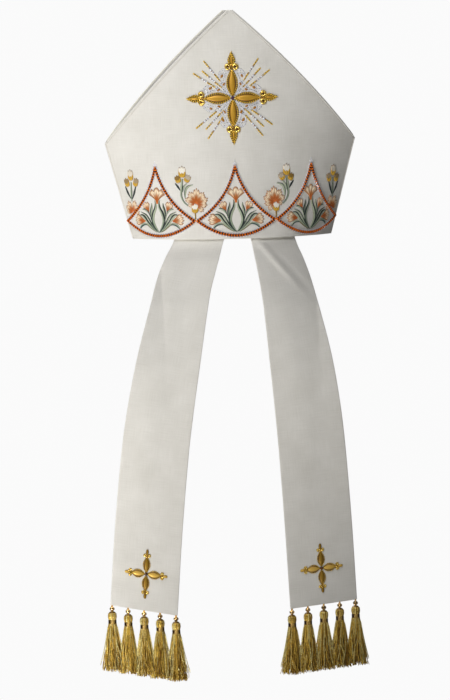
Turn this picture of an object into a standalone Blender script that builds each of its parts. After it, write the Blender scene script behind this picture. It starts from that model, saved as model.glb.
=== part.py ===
# Bishop mitre with two lappets, goldwork crosses, stone chains and tassels.
# Metres, +Z up. The back, with the lappets, faces -Y. The origin is the middle of the
# head opening, in the plane of the rim, where the mitre sits on a head.

import math

import bmesh
import bpy
from mathutils import Vector

# Driving dimensions: the two stiff panels
RIM_HALF_WIDTH = 0.1245
CORNER_HALF_WIDTH = 0.1568
CORNER_HEIGHT = 0.1190
APEX_HEIGHT = 0.2810
RIM_BOW = 0.0670
APEX_BOW = 0.0320
EDGE_BULGE = 0.0050
APEX_HALF_WIDTH = 0.0020
PANEL_WALL = 0.0025
FIT_GAP = 0.0003

# Driving dimensions: the cloth between the panels. It ends at a share of the upper edge
# past each side corner, and its sections crowd towards the corners.
GUSSET_WALL = 0.0015
GUSSET_SAG = 0.0060
GUSSET_EDGE_DROP = 0.0015
GUSSET_CLEARANCE = 0.0006
GUSSET_ROUNDING = 1.25
GUSSET_END_SHARE = 0.055
GUSSET_CROWDING = 0.8

# Driving dimensions: the stone chains, a scallop each
CHAINS_PER_PANEL = 3
CHAIN_WIDTH = 0.0030
CHAIN_HEIGHT = 0.0020
SCALLOP_LOW_HEIGHT = 0.0042
SCALLOP_CROSSING_HEIGHT = 0.0226
SCALLOP_PEAK_HEIGHT = 0.0890
SCALLOP_HOLLOW = 0.0085

# The shoulder of a half-round strip: shares of its half width and of its height
SHOULDER_OUT = 0.75
SHOULDER_UP = 0.70

# Driving dimensions: the goldwork crosses
BACK_CROSS_HEIGHT = 0.1728
BACK_CROSS_ARM = 0.0570
BACK_CROSS_PETAL_WIDTH = 0.0145
BACK_CROSS_RELIEF = 0.0018
LAPPET_CROSS_ARM = 0.0300
LAPPET_CROSS_SIDE_ARM = 0.0262
LAPPET_CROSS_PETAL_WIDTH = 0.0078
LAPPET_CROSS_RELIEF = 0.0012
LAPPET_CROSS_RISE = 0.0450

# Driving dimensions: the lappets
LAPPET_DROP = 0.4505
LAPPET_TUCK = 0.0250
LAPPET_TOP_WIDTH = 0.0550
LAPPET_WIDTH = 0.0832
LAPPET_WALL = 0.0025
LAPPET_CLEARANCE = 0.0006
LAPPET_REACH = 0.1150
LAPPET_MOST_HUG = 0.0950
LAPPET_LEFT_START = -0.0456
LAPPET_LEFT_END = -0.1292
LAPPET_RIGHT_START = 0.0452
LAPPET_RIGHT_END = 0.0926

# Driving dimensions: the tassels and their beads
TASSELS_PER_LAPPET = 5
TASSEL_INSET = 0.0020
TASSEL_LENGTH = 0.0720
TASSEL_HALF_DEPTH = 0.0085
TASSEL_MOST_HALF_WIDTH = 0.0097
TASSEL_STAGGER = 0.0036
BEAD_RADIUS = 0.0026
BEAD_STEM_RADIUS = 0.0009
BEAD_STEM_LENGTH = 0.0014

# A row for each section down a lappet. drop: share of LAPPET_DROP below the rim.
# swing: share of the way from its start to its end sideways. spread: share of the way
# from its top width to its full width. hug: how far it still follows the back panel.
# square: how its section slopes, from level at the rim to square to its length at 1 and
# steeper past that, as the hems do.
LAPPET_ROWS = (
    # drop, swing, spread, hug, square
    (0.000, 0.000, 0.00, 1.00, 0.00),
    (0.027, 0.062, 0.06, 0.93, 0.00),
    (0.062, 0.145, 0.20, 0.76, 0.30),
    (0.120, 0.265, 0.36, 0.54, 0.65),
    (0.187, 0.365, 0.50, 0.33, 0.90),
    (0.318, 0.538, 0.78, 0.10, 1.00),
    (0.433, 0.665, 0.91, 0.02, 1.05),
    (0.555, 0.770, 0.97, 0.00, 1.20),
    (0.778, 0.902, 1.00, 0.00, 1.90),
    (1.000, 1.000, 1.00, 0.00, 2.40),
)

# A row for each section along a cross's arm. along: share of the arm. half_width: share
# of the petal's width. height: share of the relief. The almond petal comes first, then
# the two curls, then the teardrop tip.
CROSS_ROWS = (
    # along, half_width, height
    (0.060, 0.150, 0.55),
    (0.180, 0.400, 0.95),
    (0.330, 0.500, 1.00),
    (0.480, 0.360, 0.90),
    (0.590, 0.150, 0.60),
    (0.665, 0.560, 0.65),
    (0.760, 0.200, 0.60),
    (0.860, 0.390, 0.90),
    (0.940, 0.240, 0.65),
    (1.000, 0.050, 0.30),
)

# A row for each ring down a tassel. down: share of its length. reach: share of its
# widest half width. lock: how deep the grooves between its locks are.
TASSEL_ROWS = (
    # down, reach, lock
    (0.000, 0.16, 0.00),
    (0.030, 0.42, 0.00),
    (0.080, 0.52, 0.00),
    (0.125, 0.44, 0.00),
    (0.150, 0.36, 0.00),
    (0.185, 0.46, 0.08),
    (0.450, 0.74, 0.14),
    (0.780, 0.95, 0.16),
    (1.000, 1.00, 0.18),
)

PANEL_COLUMNS = 20
PANEL_LOW_ROWS = 3
PANEL_HIGH_ROWS = 12
GUSSET_HALF_COLUMNS = 10
GUSSET_ROWS = 8
LAPPET_COLUMNS = 4
CHAIN_LOW_SPANS = 12
CHAIN_SIDE_SPANS = 9
TASSEL_SIDES = 14
BEAD_SIDES = 10
BEAD_RINGS = 6

CLOTH_SMOOTH_DEGREES = 40
TRIM_SMOOTH_DEGREES = 50

CREAM_CLOTH = (0.78, 0.75, 0.68)
LINING_CLOTH = (0.72, 0.69, 0.64)
GOLD_THREAD = (0.62, 0.40, 0.08)
GOLD_METAL = (0.72, 0.50, 0.18)
ORANGE_STONE = (0.62, 0.13, 0.02)


def clear_scene():
    for obj in list(bpy.data.objects):
        bpy.data.objects.remove(obj, do_unlink=True)


def principled(name, colour, roughness, metallic):
    material = bpy.data.materials.new(name)
    material.use_nodes = True
    shader = material.node_tree.nodes["Principled BSDF"]
    shader.inputs["Base Color"].default_value = (*colour, 1)
    shader.inputs["Roughness"].default_value = roughness
    shader.inputs["Metallic"].default_value = metallic
    material.diffuse_color = (*colour, 1)
    return material


def mix(a, b, share):
    return a + (b - a) * share


def table_value(rows, column, share):
    """Reads a column of a table at a share between its rows, with smooth bends."""
    last = len(rows) - 1
    i = 0
    while i < last - 1 and share > rows[i + 1][0]:
        i += 1
    low = rows[max(i - 1, 0)]
    start = rows[i]
    end = rows[i + 1]
    high = rows[min(i + 2, last)]
    span = end[0] - start[0]
    t = (share - start[0]) / span
    slope_start = (end[column] - low[column]) / (end[0] - low[0]) * span
    slope_end = (high[column] - start[column]) / (high[0] - start[0]) * span
    return (
        (2 * t**3 - 3 * t**2 + 1) * start[column]
        + (t**3 - 2 * t**2 + t) * slope_start
        + (3 * t**2 - 2 * t**3) * end[column]
        + (t**3 - t**2) * slope_end
    )


def add_object(name, points, faces, material, smooth_degrees):
    """Makes one object from points and faces, cut into triangles by the short diagonal."""
    mesh = bpy.data.meshes.new(name)
    mesh.from_pydata([tuple(p) for p in points], [], faces)
    mesh.validate()
    shell = bmesh.new()
    shell.from_mesh(mesh)
    bmesh.ops.recalc_face_normals(shell, faces=shell.faces)
    bmesh.ops.triangulate(shell, faces=shell.faces, quad_method="SHORT_EDGE")
    shell.to_mesh(mesh)
    shell.free()
    mesh.shade_smooth()
    mesh.set_sharp_from_angle(angle=math.radians(smooth_degrees))
    mesh.materials.append(material)
    obj = bpy.data.objects.new(name, mesh)
    bpy.context.scene.collection.objects.link(obj)
    return obj


def half_width_at(height):
    """Half the distance between the side seams, carried on above the corners."""
    return mix(RIM_HALF_WIDTH, CORNER_HALF_WIDTH, height / CORNER_HEIGHT)


def bow_at(height):
    return mix(RIM_BOW, APEX_BOW, height / APEX_HEIGHT)


def arc_radius(height):
    """Radius of a panel's level section, an arc through both side seams."""
    half = half_width_at(height)
    bow = bow_at(height)
    return (half * half + bow * bow) / (2 * bow)


def arc_centre(height):
    """How far the centre of the level section lies past the seams' plane."""
    return arc_radius(height) - bow_at(height)


def seam_angle(height, depth):
    """Angle of the side seam on the section that lies depth inside the outer face."""
    radius = arc_radius(height) - depth
    return math.acos((arc_centre(height) + FIT_GAP / 2) / radius)


def panel_point(angle, height, depth, side):
    """A point depth inside a panel's outer face. side is -1 at the back, 1 in front."""
    radius = arc_radius(height) - depth
    x = radius * math.sin(angle)
    y = radius * math.cos(angle) - arc_centre(height)
    return Vector((x, side * y, height))


def panel_spot(across, height, proud, side):
    """A point across (along the cloth, from the middle) and height up on a panel."""
    angle = across / arc_radius(height)
    return panel_point(angle, height, -proud, side)


def panel_face(x, height, depth):
    """How far from the seams' plane a panel is at x, depth inside its outer face."""
    radius = arc_radius(height) - depth
    return math.sqrt(radius * radius - x * x) - arc_centre(height)


def upper_edge(share):
    """(half width, height) on the upper edge, from the side corner to the apex."""
    run = CORNER_HALF_WIDTH - APEX_HALF_WIDTH
    rise = APEX_HEIGHT - CORNER_HEIGHT
    length = math.hypot(run, rise)
    bulge = EDGE_BULGE * 4 * share * (1 - share)
    half = CORNER_HALF_WIDTH - run * share + bulge * rise / length
    height = CORNER_HEIGHT + rise * share + bulge * run / length
    return half, height


def panel_rows():
    """(height, half width) of each level row of a panel."""
    rows = []
    for i in range(PANEL_LOW_ROWS):
        height = CORNER_HEIGHT * i / PANEL_LOW_ROWS
        rows.append((height, half_width_at(height)))
    for i in range(PANEL_HIGH_ROWS + 1):
        half, height = upper_edge(i / PANEL_HIGH_ROWS)
        rows.append((height, half))
    return rows


def wall_between(outer, inner):
    """Points and faces of a closed wall between two grids of the same size."""
    count = len(outer)
    across = len(outer[0])
    points = [p for row in outer for p in row] + [p for row in inner for p in row]
    shift = count * across
    faces = []
    for i in range(count - 1):
        for j in range(across - 1):
            a = i * across + j
            b = a + 1
            c = a + across + 1
            d = a + across
            faces.append((a, b, c, d))
            faces.append((a + shift, d + shift, c + shift, b + shift))
    rim = [j for j in range(across)]
    rim += [i * across + across - 1 for i in range(1, count)]
    rim += [(count - 1) * across + j for j in range(across - 2, -1, -1)]
    rim += [i * across for i in range(count - 2, 0, -1)]
    for a, b in zip(rim, rim[1:] + rim[:1]):
        faces.append((b, a, a + shift, b + shift))
    return points, faces


def make_panel(name, side, material):
    """A stiffened cloth panel, arched round the head, with two slightly convex edges."""
    layers = []
    for depth in (0.0, PANEL_WALL):
        grid = []
        for height, half in panel_rows():
            angle = math.asin(min(half / arc_radius(height), 1.0))
            angle = min(angle, seam_angle(height, depth))
            row = []
            for j in range(PANEL_COLUMNS + 1):
                share = 2 * j / PANEL_COLUMNS - 1
                row.append(panel_point(share * angle, height, depth, side))
            grid.append(row)
        layers.append(grid)
    points, faces = wall_between(*layers)
    return add_object(name, points, faces, material, CLOTH_SMOOTH_DEGREES)


def gusset_sections():
    """(x, half depth, edge height, valley height) of each section of the crown's cloth."""
    sections = []
    for i in range(2 * GUSSET_HALF_COLUMNS + 1):
        place = i / GUSSET_HALF_COLUMNS - 1
        share = mix(1.0, GUSSET_END_SHARE, abs(place) ** GUSSET_CROWDING)
        half, height = upper_edge(share)
        x = math.copysign(half - APEX_HALF_WIDTH, place) if place else 0.0
        depth = panel_face(abs(x), height, PANEL_WALL) - GUSSET_CLEARANCE
        sag = GUSSET_SAG * (1 - (x / CORNER_HALF_WIDTH) ** 2)
        sections.append((x, depth, height - GUSSET_EDGE_DROP, CORNER_HEIGHT - sag))
    return sections


def make_gusset(name, material):
    """The cloth between the panels' upper edges: two flaps that meet in a valley."""
    upper = []
    lower = []
    for x, depth, edge, valley in gusset_sections():
        top_row = []
        under_row = []
        for j in range(GUSSET_ROWS + 1):
            place = 2 * j / GUSSET_ROWS - 1
            rise = abs(place) ** GUSSET_ROUNDING
            z = mix(valley, edge, rise)
            inside = max(depth - GUSSET_WALL, 0.0)
            top_row.append(Vector((x, place * inside, z)))
            drop = GUSSET_WALL * (1 - rise)
            under_row.append(Vector((x, place * depth, z - drop)))
        upper.append(top_row)
        lower.append(under_row)
    points, faces = wall_between(upper, lower)
    return add_object(name, points, faces, material, CLOTH_SMOOTH_DEGREES)


def scallop_pitch():
    """The side seams' distance along the cloth where the chains cross, shared out."""
    height = SCALLOP_CROSSING_HEIGHT
    return 2 * seam_angle(height, 0.0) * arc_radius(height) / CHAINS_PER_PANEL


def scallop_route(middle):
    """(across, height, side) round one scallop: its low arc, then up one side and down."""
    corner = scallop_pitch() / 2 - CHAIN_WIDTH / 2 - FIT_GAP / 2
    rise = SCALLOP_PEAK_HEIGHT - SCALLOP_CROSSING_HEIGHT
    length = math.hypot(corner, rise)
    route = []
    for i in range(CHAIN_LOW_SPANS + 1):
        place = 2 * i / CHAIN_LOW_SPANS - 1
        height = mix(SCALLOP_LOW_HEIGHT, SCALLOP_CROSSING_HEIGHT, place * place)
        route.append((middle + place * corner, height, 0))
    side_route = []
    for i in range(1, CHAIN_SIDE_SPANS + 1):
        share = i / CHAIN_SIDE_SPANS
        hollow = SCALLOP_HOLLOW * 4 * share * (1 - share)
        out = corner * (1 - share) - hollow * rise / length
        up = SCALLOP_CROSSING_HEIGHT + rise * share - hollow * corner / length
        side_route.append((out, up))
    route += [(middle + out, up, 1) for out, up in side_route]
    route += [(middle - out, up, -1) for out, up in reversed(side_route[:-1])]
    return route


def half_round(half_width, height):
    """(sideways, proud) points of a half-round strip that lies on the cloth."""
    return (
        (-half_width, 0.0),
        (-half_width * SHOULDER_OUT, height * SHOULDER_UP),
        (0.0, height),
        (half_width * SHOULDER_OUT, height * SHOULDER_UP),
        (half_width, 0.0),
    )


def make_chain(name, middle, side, material):
    """A closed loop of set stones round one scallop, as one half-round strip."""
    route = scallop_route(middle)
    profile = half_round(CHAIN_WIDTH / 2, CHAIN_HEIGHT)
    count = len(route)
    points = []
    for i, (across, height, flank) in enumerate(route):
        before = route[i - 1]
        after = route[(i + 1) % count]
        run = after[0] - before[0]
        rise = after[1] - before[1]
        length = math.hypot(run, rise)
        is_peak = height >= SCALLOP_PEAK_HEIGHT
        for offset, proud in profile:
            spot = across - offset * rise / length
            if flank and not is_peak:
                spot = middle + flank * max(flank * (spot - middle), FIT_GAP)
            level = height + offset * run / length
            points.append(panel_spot(spot, level, proud + FIT_GAP, side))
    size = len(profile)
    faces = []
    for i in range(count):
        start = i * size
        end = (i + 1) % count * size
        for j in range(size):
            k = (j + 1) % size
            faces.append((start + j, start + k, end + k, end + j))
    return add_object(name, points, faces, material, TRIM_SMOOTH_DEGREES)


def arm_sections(length, petal_width, relief):
    """(along, half_round points) for each section of one arm of a cross."""
    sections = []
    for along, half, height in CROSS_ROWS:
        sections.append((along * length, half_round(half * petal_width, height * relief)))
    return sections


def make_cross(name, arms, petal_width, relief, place, material):
    """A padded cross of four arms. arms: its right, upper, left and lower length.
    place(right, up, proud) puts a point of the flat cross on the cloth."""
    directions = ((1, 0), (0, 1), (-1, 0), (0, -1))
    points = []
    faces = []

    def add(along, offset, proud, direction):
        right = along * direction[0] - offset * direction[1]
        up = along * direction[1] + offset * direction[0]
        points.append(place(right, up, proud))
        return len(points) - 1

    core = CROSS_ROWS[0][1] * petal_width
    corners = []
    for right, up in ((core, -core), (core, core), (-core, core), (-core, -core)):
        points.append(place(right, up, 0.0))
        corners.append(len(points) - 1)
    ring = []
    for turn, (length, direction) in enumerate(zip(arms, directions)):
        before = None
        for i, (along, profile) in enumerate(arm_sections(length, petal_width, relief)):
            if i == 0:
                along = core
                inner = [add(along, s, p, direction) for s, p in profile[1:-1]]
                now = [corners[turn]] + inner + [corners[(turn + 1) % 4]]
                ring += now[:-1]
            else:
                now = [add(along, s, p, direction) for s, p in profile]
            if before:
                for j in range(len(now)):
                    k = (j + 1) % len(now)
                    faces.append((before[j], before[k], now[k], now[j]))
            before = now
        faces.append(tuple(before))
    points.append(place(0.0, 0.0, relief))
    centre = len(points) - 1
    for a, b in zip(ring, ring[1:] + ring[:1]):
        faces.append((centre, a, b))
    faces.append(tuple(reversed(corners)))
    return add_object(name, points, faces, material, TRIM_SMOOTH_DEGREES)


def lappet_centre(start, end, drop):
    """(x, z) of a lappet's centre line, drop being a share of its length."""
    if drop >= 0:
        swing = table_value(LAPPET_ROWS, 1, drop)
    else:
        swing = drop * LAPPET_ROWS[1][1] / LAPPET_ROWS[1][0]
    return mix(start, end, swing), -LAPPET_DROP * drop


def lappet_lean(start, end, drop):
    """Sideways and upward parts of the line square across a lappet."""
    step = LAPPET_ROWS[1][0] / 2
    upper = lappet_centre(start, end, drop - step if drop < 1 else 1 - 2 * step)
    lower = lappet_centre(start, end, min(drop + step, 1.0))
    run = lower[0] - upper[0]
    fall = upper[1] - lower[1]
    length = math.hypot(run, fall)
    return fall / length, run / length


def lappet_point(start, end, drop, across, proud):
    """A point of a lappet. across: metres from its centre line. proud: metres outwards
    from its outer face. Above the rim, drop is negative and it lies on the panel."""
    x, z = lappet_centre(start, end, drop)
    side, up = lappet_lean(start, end, drop)
    square = table_value(LAPPET_ROWS, 4, max(drop, 0.0))
    x += across * (side + (1 - square) * up * up / side)
    z += across * up * square
    hug = table_value(LAPPET_ROWS, 3, min(max(-z / LAPPET_DROP, 0.0), 1.0))
    near_x = min(abs(x), LAPPET_MOST_HUG)
    near = panel_face(near_x, max(z, -LAPPET_TUCK), PANEL_WALL + LAPPET_CLEARANCE)
    return Vector((x, -mix(LAPPET_REACH, near, hug) - proud, z))


def lappet_half_width(drop):
    spread = table_value(LAPPET_ROWS, 2, max(drop, 0.0))
    return mix(LAPPET_TOP_WIDTH, LAPPET_WIDTH, spread) / 2


def make_lappet(name, start, end, material):
    """A strip of doubled cloth, sewn inside the back rim, that falls over the back."""
    drops = [-LAPPET_TUCK / LAPPET_DROP]
    for i, row in enumerate(LAPPET_ROWS[:-1]):
        drops += [row[0], (row[0] + LAPPET_ROWS[i + 1][0]) / 2]
    drops.append(LAPPET_ROWS[-1][0])
    layers = []
    for proud in (0.0, -LAPPET_WALL):
        grid = []
        for drop in drops:
            half = lappet_half_width(drop)
            row = []
            for j in range(LAPPET_COLUMNS + 1):
                across = half * (2 * j / LAPPET_COLUMNS - 1)
                row.append(lappet_point(start, end, drop, across, proud))
            grid.append(row)
        layers.append(grid)
    points, faces = wall_between(*layers)
    return add_object(name, points, faces, material, CLOTH_SMOOTH_DEGREES)


def make_turned(name, rings, sides, top, axis, side, depth, material):
    """A round piece about a line. rings: (down, half width, half depth, lock, end
    stagger) for each ring. The piece is closed by a point at each end."""
    points = [top + axis * rings[0][0]]
    for down, wide, deep, lock, stagger in rings:
        for k in range(sides):
            angle = 2 * math.pi * k / sides
            groove = 1 - lock * (k % 2)
            level = down - stagger * (k % 2)
            out = side * (wide * groove * math.cos(angle))
            out += depth * (deep * groove * math.sin(angle))
            points.append(top + axis * level + out)
    points.append(top + axis * rings[-1][0])
    faces = []
    for k in range(sides):
        after = (k + 1) % sides
        faces.append((0, 1 + k, 1 + after))
        for i in range(len(rings) - 1):
            a = 1 + i * sides
            b = a + sides
            faces.append((a + k, b + k, b + after, a + after))
        base = 1 + (len(rings) - 1) * sides
        faces.append((base + after, base + k, len(points) - 1))
    return add_object(name, points, faces, material, TRIM_SMOOTH_DEGREES)


def hem_points(start, end):
    """The middle of the lappet's hem at each tassel."""
    pitch = (LAPPET_WIDTH - 2 * TASSEL_INSET) / (TASSELS_PER_LAPPET - 1)
    points = []
    for i in range(TASSELS_PER_LAPPET):
        across = i * pitch + TASSEL_INSET - LAPPET_WIDTH / 2
        points.append(lappet_point(start, end, 1.0, across, -LAPPET_WALL / 2))
    return points


def make_tassels(lappet_name, start, end, thread, metal):
    """The row of tassels under a lappet, each plumb below its bead."""
    side = Vector((1, 0, 0))
    axis = Vector((0, 0, -1))
    depth = Vector((0, 1, 0))
    hem = hem_points(start, end)
    spacing = abs(hem[1].x - hem[0].x)
    widest = min(spacing / 2 - FIT_GAP / 2, TASSEL_MOST_HALF_WIDTH)
    bead_rings = [(0.0, BEAD_STEM_RADIUS, BEAD_STEM_RADIUS, 0, 0)]
    for i in range(1, BEAD_RINGS):
        turn = math.pi * i / BEAD_RINGS
        down = BEAD_STEM_LENGTH + BEAD_RADIUS * (1 - math.cos(turn))
        wide = BEAD_RADIUS * math.sin(turn)
        bead_rings.append((down, wide, wide, 0, 0))
    bead_length = BEAD_STEM_LENGTH + 2 * BEAD_RADIUS
    tassel_rings = []
    for down, reach, lock in TASSEL_ROWS:
        stagger = TASSEL_STAGGER if down == TASSEL_ROWS[-1][0] else 0.0
        deep = reach * TASSEL_HALF_DEPTH
        tassel_rings.append((down * TASSEL_LENGTH, reach * widest, deep, lock, stagger))
    for i, edge in enumerate(hem):
        top = edge + axis * FIT_GAP
        bead_name = f"tassel_bead_{lappet_name}_{i + 1}"
        make_turned(bead_name, bead_rings, BEAD_SIDES, top, axis, side, depth, metal)
        top = top + axis * (bead_length + FIT_GAP)
        tassel_name = f"tassel_{lappet_name}_{i + 1}"
        make_turned(tassel_name, tassel_rings, TASSEL_SIDES, top, axis, side, depth, thread)


def make_lappet_cross(name, start, end, material):
    height = 1 - LAPPET_CROSS_RISE / LAPPET_DROP

    def place(right, up, proud):
        drop = height - up / LAPPET_DROP
        return lappet_point(start, end, drop, right, proud + FIT_GAP)

    arms = (LAPPET_CROSS_SIDE_ARM, LAPPET_CROSS_ARM, LAPPET_CROSS_SIDE_ARM, LAPPET_CROSS_ARM)
    width = LAPPET_CROSS_PETAL_WIDTH
    return make_cross(name, arms, width, LAPPET_CROSS_RELIEF, place, material)


def make_back_cross(name, material):
    def place(right, up, proud):
        return panel_spot(right, BACK_CROSS_HEIGHT + up, proud + FIT_GAP, -1)

    arms = (BACK_CROSS_ARM,) * 4
    width = BACK_CROSS_PETAL_WIDTH
    return make_cross(name, arms, width, BACK_CROSS_RELIEF, place, material)


def main():
    clear_scene()
    cloth = principled("cream_cloth", CREAM_CLOTH, 0.85, 0.0)
    lining = principled("crown_cloth", LINING_CLOTH, 0.85, 0.0)
    thread = principled("gold_thread", GOLD_THREAD, 0.45, 0.3)
    metal = principled("gold_metal", GOLD_METAL, 0.3, 0.9)
    stone = principled("orange_stone", ORANGE_STONE, 0.25, 0.0)

    make_panel("back_panel", -1, cloth)
    make_panel("front_panel", 1, cloth)
    make_gusset("crown_gusset", lining)
    places = ("left", "middle", "right")
    for side, face in ((-1, "back"), (1, "front")):
        for i in range(CHAINS_PER_PANEL):
            middle = (i - (CHAINS_PER_PANEL - 1) / 2) * scallop_pitch()
            place = places[i] if CHAINS_PER_PANEL == len(places) else str(i + 1)
            make_chain(f"stone_chain_{face}_{place}", middle, side, stone)
    make_back_cross("back_cross", thread)
    sides = (
        ("left", LAPPET_LEFT_START, LAPPET_LEFT_END),
        ("right", LAPPET_RIGHT_START, LAPPET_RIGHT_END),
    )
    for name, start, end in sides:
        make_lappet(f"lappet_{name}", start, end, cloth)
        make_lappet_cross(f"lappet_cross_{name}", start, end, thread)
        make_tassels(name, start, end, thread, metal)


main()
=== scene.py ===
# %% [markdown]
# # A bishop's mitre, seen from behind
# The CAD frame gives every piece its true size and place. This script only dresses it:
# stiffened cream cloth, padded goldwork, silk flowers, set stones and metal-thread
# tassels. Lengths are in metres, but needlework, stones and stitches are drawn flat in
# millimetres, and turned into metres as they are laid on the cloth.

# %% Load the frame and note its box
import math

import bmesh
import bpy
import numpy as np
from mathutils import Matrix, Vector


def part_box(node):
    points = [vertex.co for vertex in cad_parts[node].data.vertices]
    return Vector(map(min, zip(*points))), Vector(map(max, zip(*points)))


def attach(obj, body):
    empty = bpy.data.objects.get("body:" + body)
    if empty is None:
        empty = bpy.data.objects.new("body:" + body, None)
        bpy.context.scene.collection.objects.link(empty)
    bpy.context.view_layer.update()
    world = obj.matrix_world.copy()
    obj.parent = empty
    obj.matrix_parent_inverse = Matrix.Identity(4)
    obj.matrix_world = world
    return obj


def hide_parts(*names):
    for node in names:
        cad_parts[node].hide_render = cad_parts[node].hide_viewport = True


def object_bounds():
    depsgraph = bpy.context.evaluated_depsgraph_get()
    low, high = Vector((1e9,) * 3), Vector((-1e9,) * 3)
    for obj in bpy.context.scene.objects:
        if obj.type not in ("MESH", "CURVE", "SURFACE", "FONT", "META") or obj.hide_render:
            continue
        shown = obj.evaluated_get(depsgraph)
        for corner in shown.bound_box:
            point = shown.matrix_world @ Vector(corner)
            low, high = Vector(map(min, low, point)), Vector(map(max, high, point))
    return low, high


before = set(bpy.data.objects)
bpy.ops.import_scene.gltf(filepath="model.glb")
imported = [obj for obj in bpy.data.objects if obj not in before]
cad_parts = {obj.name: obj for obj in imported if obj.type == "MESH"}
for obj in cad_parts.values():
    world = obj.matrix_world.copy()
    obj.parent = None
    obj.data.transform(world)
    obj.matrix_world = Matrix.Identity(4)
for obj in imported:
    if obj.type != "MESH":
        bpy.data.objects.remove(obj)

CAD_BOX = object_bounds()
MM = 0.001
print("CAD nodes:", len(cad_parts), "box:", CAD_BOX[0][:], CAD_BOX[1][:])

# %% [markdown]
# ## The camera
# The camera stands a little to the left and slightly above the rim, and is turned by a
# degree, so the mitre leans in the picture. A long lens from five metres keeps the far
# panel's edge in sight beside the near one, as a closer, wider lens would not.

# %% Place the camera
PHOTO_HEIGHT_PX = 700
CAMERA_AZIMUTH = -5.10
CAMERA_ELEVATION = 4.76
CAMERA_ROLL = 1.276
CAMERA_DISTANCE = 5.0
FOCAL_PX = 3997
CAMERA_TARGET = Vector((-0.01223, 0.0, -0.14256))
SENSOR_WIDTH = 36


def placed(name, data):
    """Puts an object with this data into the scene."""
    made = bpy.data.objects.new(name, data)
    bpy.context.scene.collection.objects.link(made)
    return made


def place_camera():
    azimuth = math.radians(CAMERA_AZIMUTH)
    elevation = math.radians(CAMERA_ELEVATION)
    level = math.cos(elevation)
    back = Vector((math.sin(azimuth) * level, -math.cos(azimuth) * level, math.sin(elevation)))
    data = bpy.data.cameras.new("photo_camera")
    data.sensor_width = SENSOR_WIDTH
    data.lens = FOCAL_PX * SENSOR_WIDTH / PHOTO_HEIGHT_PX
    camera = placed("photo_camera", data)
    camera.location = CAMERA_TARGET + back * CAMERA_DISTANCE
    aim = (-back).to_track_quat("-Z", "Y").to_matrix().to_4x4()
    turn = Matrix.Rotation(math.radians(-CAMERA_ROLL), 4, "Z")
    camera.rotation_euler = (aim @ turn).to_euler()
    bpy.context.scene.camera = camera
    return camera


camera = place_camera()
print("camera at", [round(c, 3) for c in camera.location])

# %% [markdown]
# ## Light and floor
# The photo's cloth is brightest on the left and falls off to a soft shade on the right. A
# lamp low on the left does this when it is aimed well past the mitre, so that only the
# edge of its beam reaches the right lappet. A weaker lamp above fills the crown, one
# behind on the left catches the piping, and one at the rear lights the front panel.
# The floor is a plain pale plane well below the tassels. It and the room look white, but
# light the mitre as a dimmer grey, or they would wash its shadows out.

# %% Light the studio
FLOOR_DROP = 0.80
FLOOR_REACH = 60.0
FLOOR_GREY = (0.55, 0.55, 0.55, 1)
SEEN_WHITE = (0.96, 0.96, 0.96, 1)
AMBIENT_COLOUR = (0.93, 0.94, 0.96, 1)
AMBIENT_STRENGTH = 0.15
LAMPS = (
    # name, place, aim, size, power, colour
    ("key_light", (-0.65, -0.98, -1.04), (-3.12, -0.21, 1.52), 0.6, 47, (1.0, 0.985, 0.965)),
    ("fill_light", (-0.40, -0.78, 0.97), (0, 0, -0.78), 0.5, 8.8, (0.98, 0.985, 1.0)),
    ("edge_light", (-1.00, 1.10, 1.20), (0, 0, 0.15), 0.4, 14, (1.0, 1.0, 0.94)),
    ("rear_light", (0.4, 2.4, 1.4), (0, 0, 0), 1.6, 34, (1.0, 0.99, 0.97)),
)

for name, place, aim, size, power, colour in LAMPS:
    data = bpy.data.lights.new(name, "AREA")
    data.shape = "DISK"
    data.size, data.energy, data.color = size, power, colour
    lamp = placed(name, data)
    lamp.visible_camera = False
    lamp.location = place
    lamp.rotation_euler = (Vector(aim) - Vector(place)).to_track_quat("-Z", "Y").to_euler()

# %% Helpers for nodes and materials
def add_node(tree, kind, inputs=(), **settings):
    """Adds a node. inputs: each input's name or number, and its value or the socket it joins."""
    node = tree.nodes.new(kind)
    for name, value in settings.items():
        setattr(node, name, value)
    for name, value in dict(inputs).items():
        if isinstance(value, bpy.types.NodeSocket):
            tree.links.new(value, node.inputs[name])
        else:
            node.inputs[name].default_value = value
    return node


def new_material(name, **values):
    """A Principled material. values: the shader's inputs, with _ for each space."""
    material = bpy.data.materials.new(name)
    material.use_nodes = True
    shader = material.node_tree.nodes["Principled BSDF"]
    for label, value in values.items():
        shader.inputs[label.replace("_", " ")].default_value = value
    return material, material.node_tree, shader


def show_apart(tree, lighting, seen, output):
    """Lights the mitre with one shader, and shows another to the camera."""
    ray = add_node(tree, "ShaderNodeLightPath").outputs["Is Camera Ray"]
    both = add_node(tree, "ShaderNodeMixShader", {0: ray, 1: lighting, 2: seen})
    tree.links.new(both.outputs[0], tree.nodes[output].inputs["Surface"])


# %% Make the room and the floor
def make_world():
    world = bpy.data.worlds.new("studio")
    world.use_nodes = True
    tree = world.node_tree
    ambient = tree.nodes["Background"]
    ambient.inputs["Color"].default_value = AMBIENT_COLOUR
    ambient.inputs["Strength"].default_value = AMBIENT_STRENGTH
    seen = add_node(tree, "ShaderNodeBackground", {"Color": SEEN_WHITE})
    show_apart(tree, ambient.outputs[0], seen.outputs[0], "World Output")
    bpy.context.scene.world = world


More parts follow.
